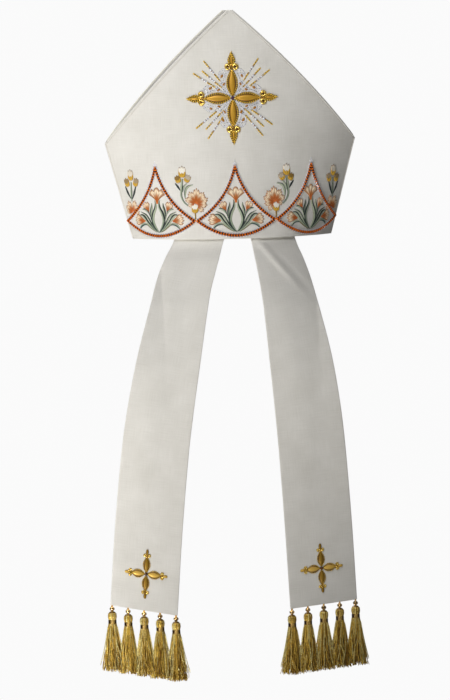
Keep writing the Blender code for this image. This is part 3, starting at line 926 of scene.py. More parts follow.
class Laid:
    """Collects places for stones or stitches."""

    def __init__(self, lay):
        self.lay = lay
        self.rows = []

    def add(self, flat, direction, size, tone, proud=0.0):
        spot, along, up = arrows(self.lay, flat, direction)
        count = len(flat)
        sizes = np.broadcast_to(np.asarray(size, float) * MM, (count, 3))
        tones = np.broadcast_to(np.asarray(tone, float), (count,))
        self.rows.append((spot + up * proud * MM, along, up, sizes, tones))

    def line(self, knots, pitch, size, tones, slant=0.0, offset=0.0, closed=False, proud=0.0):
        """Shapes at an even pitch on a flat curve, or beside it, with their tones in turn."""
        length = run_of(smooth_path(knots, 200, closed))[-1]
        line = smooth_path(knots, max(int(length / pitch), 3), closed)
        left = sideways(line, closed)
        direction = forwards(left) * math.cos(slant) + left * math.sin(slant)
        self.add(line + left * offset, direction, size, np.resize(tones, len(line)), proud)

    def make(self, name, finish, shape):
        """shape: the tree that lays it, and the tree's values."""
        tree, values = shape
        columns = [np.concatenate(column) for column in zip(*self.rows)]
        return grown(name, point_mesh(*columns), tree, {"Finish": finish, **values})


# %% [markdown]
# ## The chains of stones
# Six scallops of small table-cut stones run round the rim, three to a panel. Between the
# bright stones sit dark ones, painted shade that stands for the shadowed sides of the
# stones, so the chain reads as a dotted line. The stones follow the CAD chain's route: a
# low arc, then a hollow curve up to a point on each side.

# %% Stone material, and colours for laid shapes
STONE_GRAIN = 420
STITCH_GRAIN = 900


def place_noise(tree, grain):
    place = add_node(tree, "ShaderNodeTexCoord").outputs["Object"]
    return add_node(tree, "ShaderNodeTexNoise", {"Scale": grain, "Detail": 2, "Vector": place}).outputs["Fac"]


def toned_colour(tree, noise, spread, dim, bright):
    """Between two colours by each shape's own tone, varied a little by noise."""
    tone = add_node(tree, "ShaderNodeAttribute", attribute_name="tone").outputs["Fac"]
    lift = math_node(tree, "MULTIPLY", math_node(tree, "SUBTRACT", noise, 0.5), spread)
    return mixed_colour(tree, math_node(tree, "ADD", tone, lift), dim, bright)


def make_stone(name, bright, dark):
    material, tree, shader = new_material(name, Roughness=0.24, IOR=1.55, Coat_Weight=0.15)
    colour = toned_colour(tree, place_noise(tree, STONE_GRAIN), 0.9, dark, bright)
    tree.links.new(colour, shader.inputs["Base Color"])
    return material


orange_stone = make_stone("orange_stone", (0.86, 0.19, 0.015), (0.06, 0.006, 0.002))

# %% Lay the stones
CHAIN_WIDTH = 0.0030
CHAIN_LOW, CHAIN_CROSSING, CHAIN_PEAK = 4.2, 22.6, 89.0
CHAIN_HOLLOW = 8.5
STONE_PITCH = 3.35
STONE_SIZE = (1.75, 2.9, 1.9)
GAP_SHADE_STONE_SIZE = (1.6, 2.9, 1.6)
PEAK_STONE_SIZE = (2.6, 2.2, 1.9)
CHAIN_STONE = (STONE_TREE, {"Unevenness": 0.06, "Seed": 3, "Table": 0.42})
PITCH = float(2 * seam_angle(CHAIN_CROSSING * MM, 0.0) * arc_radius(CHAIN_CROSSING * MM) / 3)
PITCH_MM = PITCH / MM
SIDE_NAMES = {BACK: "back", FRONT: "front"}
SCALLOPS = (("left", -1), ("middle", 0), ("right", 1))


def scallop_sides():
    """The low arc and the right flank of a scallop, flat, in millimetres."""
    corner = PITCH_MM / 2 - CHAIN_WIDTH / MM / 2 - 0.15
    place = np.linspace(-1, 1, 25)
    low = np.stack([place * corner, CHAIN_LOW + (CHAIN_CROSSING - CHAIN_LOW) * place**2], axis=1)
    rise = CHAIN_PEAK - CHAIN_CROSSING
    length = math.hypot(corner, rise)
    share = np.linspace(0, 1, 19)
    hollow = CHAIN_HOLLOW * 4 * share * (1 - share)
    right = corner * (1 - share) - hollow * rise / length
    up = CHAIN_CROSSING + rise * share - hollow * corner / length
    return low, np.stack([right, up], axis=1)


def lay_chain(laid, route):
    """Bright stones at an even pitch on a route, with a dark one between each two as painted shade."""
    steps = int(round(run_of(smooth_path(route, 200))[-1] / STONE_PITCH))
    line = smooth_path(route, 2 * steps + 1)
    forward = forwards(sideways(line))
    tone = 0.90 + 0.10 * np.sin(np.arange(steps) * 2.4)
    laid.add(line[0:-1:2], forward[0:-1:2], STONE_SIZE, tone)
    # The dark stones in the gaps are painted shade for the stones' shadowed sides.
    laid.add(line[1::2], forward[1::2], GAP_SHADE_STONE_SIZE, -0.4)


LOW_ARC, FLANK = scallop_sides()
for side in (BACK, FRONT):
    for label, step in SCALLOPS:
        chain = Laid(back_lay(side, step * PITCH, -side))
        for route in (LOW_ARC, FLANK, FLANK * (-1, 1)):
            lay_chain(chain, route)
        chain.add(np.array([[0.0, CHAIN_PEAK - 0.6]]), np.array([[0.0, 1.0]]), PEAK_STONE_SIZE, 0.9)
        name = f"{SIDE_NAMES[side]}_{label}"
        stones = chain.make(f"stones_{name}", orange_stone, CHAIN_STONE)
        dressed(stones, "orange_stone", f"stone_chain_{name}")

# %% [markdown]
# ## The silver outlines
# Each chain is edged on both sides with silver stem stitch: short slanted stitches that
# overlap like a rope. Every scallop's point carries a little silver bud of three stitches
# under a knot.

# %% Stitch the outlines
OUTLINE_OFFSET = 2.1
OUTLINE_STITCH = (2.1, 1.2, 1.0)
OUTLINE_PITCH = 1.68
# Every other outline stitch is dimmed: painted shade between the stitches.
OUTLINE_TONES = (1.5, 0.6)
OUTLINE_SLANT = math.radians(16)
PEAK_BUD = (
    # across, up, length, turn
    (0, 1.2, 4.6, 90), (-1.5, 0.4, 3.4, 128), (1.5, 0.4, 3.4, 52), (0, 4.6, 1.6, 0),
)


def make_thread_stitch(name, bright, dim, roughness, metallic):
    """A finish for laid stitches: their own tone, varied a little from place to place."""
    material, tree, shader = new_material(name, Roughness=roughness, Metallic=metallic)
    noise = place_noise(tree, STITCH_GRAIN)
    join_shader(tree, shader, toned_colour(tree, noise, 0.8, dim, bright), noise, 0.3, 0.0001)
    return material


# Silver stitches run from a grey, which is painted shade, up to white.
silver_stitch = make_thread_stitch("silver_stitch", SILVER, SILVER_PAINTED_SHADE, 0.4, 0.2)
gold_stitch = make_thread_stitch("gold_stitch", (0.82, 0.55, 0.07), (0.12, 0.045, 0.004), 0.36, 0.45)
STITCH = (STITCH_TREE, {"Segments": 6, "Rings": 4, "Unevenness": 0.08, "Seed": 5})

for side in (BACK, FRONT):
    outline = Laid(None)
    for label, step in SCALLOPS:
        outline.lay = back_lay(side, step * PITCH, -side)
        routes = []
        for flip in (1, -1):
            routes.append((FLANK * (flip, 1), -OUTLINE_OFFSET * flip))
            routes.append((FLANK[:-2] * (flip, 1), OUTLINE_OFFSET * flip))
        routes += [(LOW_ARC[1:-1], OUTLINE_OFFSET), (LOW_ARC[1:-1], -OUTLINE_OFFSET)]
        for route, offset in routes:
            outline.line(
                route, OUTLINE_PITCH, OUTLINE_STITCH, OUTLINE_TONES, OUTLINE_SLANT, offset, proud=0.2
            )
        for u, up, long, turn in PEAK_BUD:
            angle = math.radians(turn)
            spot = np.array([[u, CHAIN_PEAK + 2.6 + up]])
            direction = np.array([[math.cos(angle), math.sin(angle)]])
            outline.add(spot, direction, (long, 1.4, 1.2), 0.9, 0.2)
    name = f"silver_outline_{SIDE_NAMES[side]}"
    dressed(outline.make(name, silver_stitch, STITCH), "silver_thread")

# %% [markdown]
# ## The flower sprays
# In each scallop a spray of leaves opens from one point like a lyre and carries five
# trumpet flowers. Silk is shaded from cream tips to an orange throat, and the leaves are
# sage with a dark line down one side. One half is drawn and mirrored.

# %% Petals and leaves
CREAM = (0.97, 0.80, 0.56)
PEACH = (0.78, 0.38, 0.11)
ORANGE = (0.68, 0.17, 0.02)
RUST = (0.20, 0.035, 0.005)
PETAL_EDGE = (0.36, 0.12, 0.02)
SAGE = (0.29, 0.36, 0.25)
PALE_SAGE = (0.42, 0.47, 0.33)
DARK_LEAF = (0.012, 0.022, 0.018)
TEAL = (0.018, 0.055, 0.060)
OLIVE = (0.17, 0.14, 0.06)
BUD_YELLOW = (0.62, 0.36, 0.03)
BUD_WHITE = (0.88, 0.84, 0.74)
BUD_BROWN = (0.26, 0.15, 0.025)


def leaf_colours(dark_side, dark, share_dark=0.72):
    """Sage, with a dark band inside one edge and an olive line along the other."""

    def colours(along, across):
        towards = across * dark_side
        body = blend(SAGE, PALE_SAGE, step_up(along, 0.1, 0.8))
        band = step_up(towards, 0.60 - share_dark, 0.78 - share_dark) * (1 - step_up(towards, 0.86, 0.99))
        body = blend(body, dark, band)
        return blend(body, OLIVE, step_up(-towards, 0.72, 0.95))

    return colours


def petal_colours(along, across):
    """Orange throat, then dark streaks that fade out, cream, and a brown rim."""
    streak = 0.5 + 0.5 * np.cos(across * 19)
    light = blend(PEACH, CREAM, step_up(along, 0.46, 0.78))
    body = blend(ORANGE, light, step_up(along, 0.36, 0.68))
    veins = streak * step_up(along, 0.10, 0.3) * (1 - step_up(along, 0.6, 0.88))
    body = blend(body, RUST, veins * 0.85)
    rim = np.maximum(step_up(along, 0.84, 0.95), step_up(np.abs(across), 0.80, 0.95))
    return blend(body, PETAL_EDGE, rim * 0.95)


def trumpet(work, base, turn, long, wide, lobes, flare, ends, relief=0.9, mirror=1):
    """A flower of ribs that open from a throat. turn: degrees from upwards, to the right."""
    columns, rows = 8 * lobes + 1, 13
    a = np.linspace(-1, 1, columns)
    s = np.linspace(0.02, 1, rows)[:, None]
    scallop = 0.80 + 0.20 * np.abs(np.cos(a * lobes * math.pi / 2 + (lobes % 2 == 0) * math.pi / 2)) ** 0.6
    reach = long * (ends + (1 - ends) * np.cos(a * math.pi / 2) ** 0.8) * scallop
    u = a * (0.1 + 0.9 * s**flare) * wide * (0.9 + 0.1 * scallop)
    v = reach * s ** (1 + 0.25 * np.abs(a))
    angle = math.radians(turn)
    flat_u = base[0] + u * math.cos(angle) + v * math.sin(angle)
    flat_v = base[1] - u * math.sin(angle) + v * math.cos(angle)
    lobe_crown = 0.4 + 0.6 * ((scallop - 0.80) / 0.20)
    proud = relief * (0.35 + 0.65 * np.sin(math.pi * np.clip(s, 0, 1) * 0.85)) * lobe_crown
    proud = proud * np.clip((1 - np.abs(a)) * 5, 0, 1) ** 0.5
    proud[-1] = proud[0] = -SUNK_MM
    proud[:, [0, -1]] = -SUNK_MM
    colour = petal_colours(s + 0 * a, a + 0 * s)
    uv = np.stack([a * wide + 0 * s, s * long + 0 * a], axis=-1)
    flat = np.stack([mirror * flat_u, flat_v], axis=-1)
    work.ring_form(flat, proud, uv, colour)


SPRAY_LEAVES = (
    # knots from the base to the tip, half widths, dark side, dark colour
    (((-0.3, 8.6), (-5.3, 15.1), (-7.8, 22.3), (-6.2, 30.2), (-2.9, 36.8), (-2.2, 42.0), (-3.4, 45.6)),
     (0.7, 1.7, 2.1, 2.1, 2.0, 1.6, 0.3), -1, DARK_LEAF),
    (((-9.9, 26.6), (-9.5, 32.5), (-7.8, 38.3), (-7.7, 42.4)), (0.5, 1.5, 1.6, 0.3), -1, DARK_LEAF),
    (((-8.6, 20.5), (-10.6, 26.4), (-12.6, 31.0), (-12.9, 34.2)), (0.6, 0.6, 0.55, 0.3), 1, DARK_LEAF),
    (((-11.6, 28.9), (-14.0, 33.2), (-17.3, 35.1), (-21.0, 35.3)), (0.5, 1.4, 1.6, 0.5), 1, TEAL),
    (((-3.4, 10.2), (-9.3, 17.0), (-12.8, 23.4), (-17.2, 28.8), (-24.4, 32.4)),
     (0.6, 1.1, 1.3, 1.2, 0.25), 1, DARK_LEAF),
    (((-2.2, 9.4), (-9.3, 14.6), (-14.8, 20.0), (-19.0, 25.6), (-22.6, 28.4), (-25.8, 28.0)),
     (0.6, 1.2, 1.3, 1.7, 2.0, 0.9), 1, DARK_LEAF),
    (((-3.0, 9.0), (-9.0, 12.6), (-14.6, 16.6), (-19.4, 19.2)), (0.6, 1.1, 1.2, 0.6), -1, OLIVE),
    (((-13.6, 15.8), (-18.4, 18.0), (-24.0, 17.0), (-28.0, 13.2)), (0.5, 1.2, 1.7, 0.9), -1, TEAL),
)
SPRAY_FLOWERS = (
    # base, turn from upwards, length, half width, lobes
    ((-12.2, 31.4), -22, 14.8, 5.7, 3),
    ((-18.4, 21.4), -80, 16.6, 7.7, 4),
)
SPRAY_FOOT = np.array([0.0, 8.6])
SPRAY_STRETCH = (1.03, 1.075)
LEAF_WIDENING = 1.14


def stretched(spot):
    return SPRAY_FOOT + (np.array(spot) - SPRAY_FOOT) * SPRAY_STRETCH


def spray(petals, leaves):
    for flip in (-1, 1):
        for knots, widths, dark_side, dark in SPRAY_LEAVES:
            knots = stretched(knots) * (-flip, 1)
            wider = [w * LEAF_WIDENING for w in widths]
            leaves.satin(knots, wider, 0.8, leaf_colours(-flip * dark_side, dark), rows=20, columns=13)
        for base, turn, long, wide, lobes in SPRAY_FLOWERS:
            trumpet(petals, stretched(base), turn, long, wide, lobes, flare=1.5, ends=0.76, mirror=-flip)
    trumpet(petals, (0.0, 43.6), 0, 21.0, 13.0, 3, flare=3.0, relief=1.1, ends=0.70)


# %% [markdown]
# ## Carnations and tulip buds
# Between two scallops a carnation leans over a small white bud, and a curved stalk climbs
# from it to three tulip buds. Beside each seam the same stalk stands upright over a
# carnation that the seam cuts short.

# %% Carnations and buds
SEAM_BUD_SQUEEZE = 0.8
VALLEY_SPRAY = (
    # the carnation's foot, and its petals from the back: turn from upwards, length, half width
    (0.8, 43.4),
    ((138, 13.2, 3.5), (-97, 11.0, 3.2), (96, 14.4, 3.7), (-62, 16.0, 3.9),
     (64, 17.0, 4.1), (35, 18.2, 4.3), (-29, 18.2, 4.3), (3, 20.4, 4.6)),
    # stalks: knots, half widths, dark side, rows
    ((((-9.6, 41.4), (-14.6, 46.4), (-17.6, 53.8), (-17.0, 63.4), (-15.6, 74.6)),
      (0.8, 1.2, 1.5, 1.9, 1.3), 1, 24),
     (((-12.6, 50.0), (-12.6, 58.0), (-9.6, 64.4), (-2.2, 67.4)), (0.5, 1.6, 1.8, 0.5), -1, 16),
     (((-15.8, 58.4), (-13.8, 65.0), (-10.2, 69.0)), (0.6, 1.6, 0.7), -1, 16)),
    # dark leaves: knots, half widths
    ((((-18.6, 60.0), (-21.4, 64.8), (-24.8, 69.2)), (0.4, 1.6, 0.8)),),
    # buds: foot, turn, length, half width, how golden
    (((-15.6, 76.8), 0, 13.6, 4.5, 0.0), ((-20.0, 70.4), -18, 9.0, 3.5, 1.0),
     ((-11.2, 71.2), 30, 9.2, 3.7, 0.6), ((-0.8, 33.0), 0, 11.6, 4.1, 0.0)),
)
SEAM_SPRAY = (
    # the same five entries, for the upright half at a side seam
    (-138.0, 33.0),
    ((-80, 10.4, 3.2), (82, 11.4, 3.3), (-50, 13.4, 3.4),
     (52, 14.0, 3.5), (-20, 16.2, 3.5), (20, 16.8, 3.6)),
    ((((-137.4, 47.0), (-136.6, 57.0), (-135.4, 71.0)), (0.7, 1.7, 1.0), 1, 18),),
    ((((-138.0, 50.0), (-141.8, 57.4), (-144.6, 65.6)), (0.5, 1.7, 0.8)),
     (((-136.0, 50.0), (-132.4, 57.4), (-129.0, 65.6)), (0.5, 1.7, 0.8))),
    (((-135.2, 73.4), 0, 13.2, 4.6 * SEAM_BUD_SQUEEZE, 0.25),
     ((-140.2, 65.8), -16, 10.4, 4.2 * SEAM_BUD_SQUEEZE, 0.9),
     ((-130.0, 66.2), 18, 10.4, 4.2 * SEAM_BUD_SQUEEZE, 0.8)),
)
BUD_STEM = ((-0.4, 24.0), (-0.8, 33.8))


def tulip(petals, base, turn, long, wide, golden, mirror):
    """A bud: a brown-rimmed cream crown of three teeth in a golden cup."""
    angle = math.radians(turn)
    axis = np.array([math.sin(angle), math.cos(angle)])
    side = np.array([axis[1], -axis[0]])

    def at(out, up):
        spot = np.array(base) + side * out * wide + axis * up * long
        return (mirror * spot[0], spot[1])

    def crown(along, across):
        body = blend(blend(BUD_WHITE, CREAM, step_up(np.abs(across), 0.3, 0.8)), BUD_BROWN, golden)
        rim = np.maximum(step_up(along, 0.78, 0.95), step_up(np.abs(across), 0.66, 0.90))
        return blend(body, BROWN, rim * 0.95)

    def cup(along, across):
        body = blend(BUD_YELLOW, BROWN, step_up(np.abs(across), 0.5, 0.98) * 0.85)
        return blend(body, BROWN, step_up(along, 0.8, 1.0) * 0.5)

    for out in (-0.5, 0.5, 0.0):
        tip = 1.04 if out == 0 else 0.94
        knots = (at(out * 0.6, 0.2), at(out * 1.1, 0.6), at(out * 1.5, tip))
        petals.satin(knots, wide * np.array((0.4, 0.64, 0.58, 0.04)), 0.9, crown, base=0.1)
    for out in (-1, 1):
        knots = (at(out * 0.12, 0.0), at(out * 0.62, 0.22), at(out * 0.86, 0.56))
        petals.satin(knots, wide * np.array((0.3, 0.48, 0.36, 0.08)), 1.5, cup, rows=12)
    knots = (at(0, -0.03), at(0, 0.18), at(0, 0.42))
    petals.satin(knots, wide * np.array((0.3, 0.62, 0.5, 0.15)), 1.7, cup, rows=12)


# Darker toward both edges of a strip, down to 55%: painted shade on its rounded back.
def colour_with_painted_edge_shade(colour):
    return lambda along, across: blend(colour, np.array(colour) * 0.55, np.abs(across))


def half_spray(petals, leaves, design, mirror):
    """Sews a design; mirror -1 turns it to its other hand."""
    foot, fan, stalks, dark_leaves, buds = design
    for turn, long, wide in fan:
        trumpet(petals, foot, turn, long, wide, 3, flare=1.3, relief=1.0, ends=0.74, mirror=mirror)
    for knots, widths, dark_side, rows in stalks:
        colours = leaf_colours(dark_side * mirror, DARK_LEAF, 0.4)
        leaves.satin(np.array(knots) * (mirror, 1), widths, 0.7, colours, rows=rows)
    for knots, widths in dark_leaves:
        leaves.satin(np.array(knots) * (mirror, 1), widths, 0.8, colour_with_painted_edge_shade(DARK_LEAF), rows=12)
    for bud in buds:
        tulip(petals, *bud, mirror)


# %% Sew the border's flowers
for side in (BACK, FRONT):
    works = [Needlework(None) for _ in range(3)]
    petals, leaves, gold = works
    for label, step in SCALLOPS:
        petals.lay = leaves.lay = back_lay(side, step * PITCH, -side)
        spray(petals, leaves)
    for flip in (-1, 1):
        for work in works:
            work.lay = back_lay(side, flip * -side * PITCH / 2, -side)
        half_spray(petals, leaves, VALLEY_SPRAY, -flip)
        gold.satin(np.array(BUD_STEM) * (-flip, 1), (0.9,) * 3, 0.8, colour_with_painted_edge_shade(GOLD), rows=8)
        for work in works:
            work.lay = back_lay(side, 0.0, -side)
        half_spray(petals, leaves, SEAM_SPRAY, -flip)
    face = SIDE_NAMES[side]
    dressed(petals.make(f"petals_{face}", petal_thread), "petal_thread")
    dressed(leaves.make(f"leaves_{face}", leaf_thread), "leaf_thread")
    dressed(gold.make(f"bud_stalks_{face}", gold_thread), "gold_thread")

# %% [markdown]
# ## Padded goldwork
# Each arm of the big cross is an almond of satin stitch over felt, edged with a twisted
# cord whose turns stand out like teeth. Two curls of bright purl hold a smaller drop at
# its end. The almonds and drops could be carved as one solid, but only separate stitches
# catch the light one by one, so the cords are laid stitch by stitch round each form.

# %% Gold forms
GOLD_SATIN = (0.63, 0.34, 0.03)
# A darker and a paler copy of the satin gold: painted shade and painted sheen.
SATIN_PAINTED_SHADE = (0.36, 0.20, 0.015)
SATIN_PAINTED_SHEEN = (0.82, 0.52, 0.10)
PURL = (0.98, 0.72, 0.18)
ALMOND_SHARES = (0.10, 0.48, 0.79, 0.96, 1.0, 0.94, 0.75, 0.45, 0.10)
DROP_SHARES = (0.42, 0.85, 1.0, 0.84, 0.55, 0.28, 0.10)
CORD_SLANT = math.radians(56)
gold_satin = make_thread("gold_satin", 0.46, 0.4, 0.00032, shade=0.22)
gold_purl = make_thread("gold_purl", 0.24, 0.85, 0.0006, shade=0.2)
amber_stitch = make_thread_stitch("amber_stitch", (0.44, 0.18, 0.002), (0.10, 0.03, 0.001), 0.5, 0.0)
dark_gem = make_stone("dark_gem", (0.13, 0.05, 0.11), (0.015, 0.006, 0.02))
dark_bead = make_stone("dark_bead", (0.60, 0.17, 0.008), (0.02, 0.008, 0.003))


def quarter(points, turns):
    """Turns flat points by quarter turns to the right, from the upper arm."""
    u, z = np.asarray(points, float).T
    return np.stack([(u, z), (z, -u), (-u, -z), (-z, u)][turns % 4], axis=1)


def outline_of(start, end, half, shares):
    """The closed outline round a form that stands upright between two heights."""
    up = np.linspace(start, end, len(shares))
    right = np.stack([half * np.array(shares), up], axis=1)
    return np.vstack([right, (right * (-1, 1))[::-1]])


def padded_form(work, edge, start, end, half, shares, turns, relief, tooth, gold=GOLD_SATIN):
    """A satin form with a toothed cord round it. tooth: the cord stitch's three sizes."""

    def shaded_gold(along, across):
        # Darker toward both sides of the form: painted shade where the padding turns away.
        return blend(gold, GOLD_PAINTED_SHADE, step_up(np.abs(across), 0.42, 0.85))

    spine = quarter([(0, start), (0, (start + end) / 2), (0, end)], turns)
    work.satin(spine, [half * s for s in shares], relief, shaded_gold, rows=22, columns=13, slant=0.5)
    long, wide, high = tooth
    line = quarter(outline_of(start - 0.6, end + 0.8, half + long * 0.32, shares), turns)
    shadow = (long * 0.8, wide * 1.2, high * 0.5)
    edge.line(line, wide, shadow, (-0.1,), CORD_SLANT, closed=True)
    edge.line(line, wide * 1.85, tooth, (1.5,), CORD_SLANT, closed=True, proud=high * 0.35)


def curl(work, centre, radius, thick, turns, flip):
    """A ring of bright purl that opens at its foot."""
    angles = np.radians(np.linspace(-150, 215, 12))
    reach = np.linspace(radius * 1.12, radius * 0.8, 12)
    ring = np.stack([centre[0] + reach * np.cos(angles), centre[1] + reach * np.sin(angles)], axis=1)
    ring = quarter(ring * (flip, 1), turns)

    # Darker toward the ring's sides and in bands across it: painted shade on the coils.
    def purl(along, across):
        rib = 0.5 + 0.5 * np.cos(along * 70)
        return blend(PURL, GOLD, rib * 0.35 + 0.5 * across**2)

    work.satin(ring, (thick * 0.8, thick, thick, thick * 0.8), thick * 1.25, purl, rows=44, columns=9)


# %% [markdown]
# ## Silver lace and rays
# Between the arms three rays of couched thread fan out, gold at both ends and silver
# between, tied down by brown ticks. Thin silver wire scrolls hug the almonds, with small
# amber spangles in their bends. All of it is short stitches along drawn lines.

# %% Rays, scrolls and spangles
RAYS = (
    # outer and inner end of the rays in the upper left, upper right, lower left, lower right
    ((-33.8, 45.4), (-15.0, 21.4)), ((-36.0, 33.4), (-13.3, 12.8)), ((-47.0, 30.8), (-21.8, 13.7)),
    ((33.0, 47.0), (15.0, 22.3)), ((35.5, 35.5), (14.0, 13.7)), ((46.7, 33.0), (22.7, 14.6)),
    ((-45.4, -36.0), (-21.0, -16.7)), ((-33.4, -37.2), (-12.4, -15.4)), ((-31.2, -48.8), (-13.3, -24.0)),
    ((48.4, -33.4), (23.5, -15.4)), ((37.2, -35.5), (15.0, -14.0)), ((36.0, -46.7), (15.8, -22.3)),
)
RAY_STITCH = (2.6, 2.3, 1.3)
SCROLL_STITCH = (1.8, 1.05, 0.9)
SCROLLS = (
    ((7.2, 9.6), (9.4, 11.6), (11.6, 12.6), (12.6, 15.4), (11.2, 18.0), (8.8, 18.6)),
    ((8.6, 19.6), (11.0, 20.4), (13.8, 22.0), (15.6, 25.0),
     (14.6, 28.4), (11.6, 29.6), (9.4, 28.0), (10.4, 25.8)),
    ((4.2, 32.6), (7.4, 31.4), (9.8, 32.4), (9.6, 34.8), (7.4, 35.4), (6.4, 33.8)),
    ((5.2, 8.2), (7.2, 12.0), (8.6, 16.0), (9.2, 20.0), (8.6, 24.4), (6.6, 28.6), (4.0, 32.4)),
    ((3.4, 4.6), (5.4, 5.0), (7.2, 6.4), (7.4, 8.2), (6.2, 8.6)),
    ((13.4, 19.4), (15.2, 18.2), (16.6, 16.6), (16.8, 14.6), (15.4, 13.6)),
    ((15.8, 25.4), (15.4, 29.6), (13.2, 33.2), (10.2, 35.4), (7.8, 35.0)),
)
SPANGLES = ((12.5, 27.0, 62), (10.2, 17.2, 60))


def lay_rays(gold, silver, amber):
    for outer, inner in RAYS:
        outer, inner = np.array(outer), np.array(inner)
        for work, start, end in ((gold, 0.0, 0.34), (silver, 0.32, 0.68), (gold, 0.66, 1.0)):
            ends = [outer + (inner - outer) * s for s in (start, (start + end) / 2, end)]
            # Every other ray stitch is dimmed: painted shade between the twists of the thread.
            work.line(ends, 1.3, RAY_STITCH, (1.0, 0.35), math.radians(14), proud=0.15)
        run = (inner - outer) / np.linalg.norm(inner - outer)
        ticks = np.array([outer + (inner - outer) * s for s in (0.33, 0.50, 0.67)])
        amber.add(ticks, np.broadcast_to(run, ticks.shape), (1.9, 2.1, 1.3), 0.4, 0.3)


def lay_scrolls(silver, amber):
    for turns in range(4):
        for flip in (-1, 1):
            for scroll in SCROLLS:
                route = quarter(np.array(scroll) * (flip, 1), turns)
                # Every other scroll stitch is dimmer, painted shade, and the dim line beside each scroll is a
                # painted shadow.
                silver.line(route, 1.0, SCROLL_STITCH, (1.4, 0.75), 0.2, proud=0.25)
                silver.line(route, 1.5, (1.5, 0.8, 0.6), (0.05, 0.5), 0.2, offset=-1.0 * flip)
            for u, z, lean in SPANGLES:
                angle = math.radians(lean)
                spot = quarter([(flip * u, z)], turns)
                way = quarter([(-flip * math.cos(angle), math.sin(angle))], turns)
                amber.add(spot, way, (4.9, 2.8, 1.6), 0.85, 0.5)


# %% Make the back cross
CROSS_MIDDLE = 0.1728
CROSS_TOOTH = (3.3, 1.4, 2.2)
CURL_PLACE = (4.5, 38.6)
DROP_TOOTH = (4.4, 1.4, 2.0)
RING_OF_BEADS, RING_RADIUS = 8, 3.1
MORE_STITCH = (STITCH_TREE, {"Segments": 7, "Rings": 5, "Unevenness": 0.1, "Seed": 11})
CROSS_STONE = (STONE_TREE, {"Unevenness": 0.0, "Seed": 1, "Table": 0.45})


def make_back_cross():
    lay = back_lay(BACK, level=CROSS_MIDDLE)
    work, purl = Needlework(lay), Needlework(lay)
    edge, silver, amber, gold = Laid(lay), Laid(lay), Laid(lay), Laid(lay)
    for turns in range(4):
        padded_form(work, edge, 3.6, 33.2, 5.0, ALMOND_SHARES, turns, 2.4, CROSS_TOOTH)
        padded_form(work, edge, 42.0, 54.6, 2.2, DROP_SHARES, turns, 2.0, DROP_TOOTH)
        for flip in (-1, 1):
            curl(purl, CURL_PLACE, 2.75, 1.75, turns, flip)
            middle = quarter([(CURL_PLACE[0] * flip, CURL_PLACE[1])], turns)
            amber.add(middle, np.array([[1.0, 0.0]]), (2.2, 2.2, 0.8), 0.1)
        neck = quarter([(0, 33.0), (0, 35.5), (0, 41.5)], turns)
        purl.satin(neck, (1.1, 1.3, 1.4), 1.6, colour_with_painted_edge_shade(GOLD), rows=8)
    lay_rays(gold, silver, amber)
    lay_scrolls(silver, amber)
    gem = Laid(lay)
    gem.add(np.array([[0.0, 0.0]]), np.array([[1.0, 1.0]]), (4.0, 4.0, 2.6), 0.5)
    turn = (np.arange(RING_OF_BEADS) + 0.5) * 2 * math.pi / RING_OF_BEADS
    ring = np.stack([np.cos(turn), np.sin(turn)], axis=1)
    silver.add(ring * RING_RADIUS, ring, (1.2, 1.2, 1.1), 1.3, 0.4)
    dressed(work.make("cross_satin", gold_satin), "gold_thread", "back_cross")
    dressed(purl.make("cross_curls", gold_purl), "gold_thread")
    for laid, name, finish, slot, shape in (
        (edge, "cords", gold_stitch, "gold_thread", MORE_STITCH),
        (gold, "rays", gold_stitch, "gold_thread", STITCH),
        (silver, "lace", silver_stitch, "silver_thread", STITCH),
        (amber, "spangles", amber_stitch, "gold_thread", MORE_STITCH),
        (gem, "gem", dark_gem, "orange_stone", CROSS_STONE),
    ):
        dressed(laid.make(f"cross_{name}", finish, shape), slot)


make_back_cross()

# %% [markdown]
# ## The lappets' crosses
# The small crosses are worked as the big one, with a plain almond to each arm, two purl
# curls and a bud. The upright arms are longer than the level ones.

# %% Make the lappets' crosses
LAPPET_CROSS_RISE = 0.0450
LAPPET_TOOTH = (1.7, 1.0, 1.3)
LAPPET_BEAD = (STITCH_TREE, {"Segments": 12, "Rings": 8, "Unevenness": 0.0, "Seed": 1})


def lappet_lay(which):
    middle = 1 - LAPPET_CROSS_RISE / LAPPET_DROP

    def lay(u, z, proud):
        return on_lappet(which, middle - z / LAPPET_DROP, u, proud)

    return lay


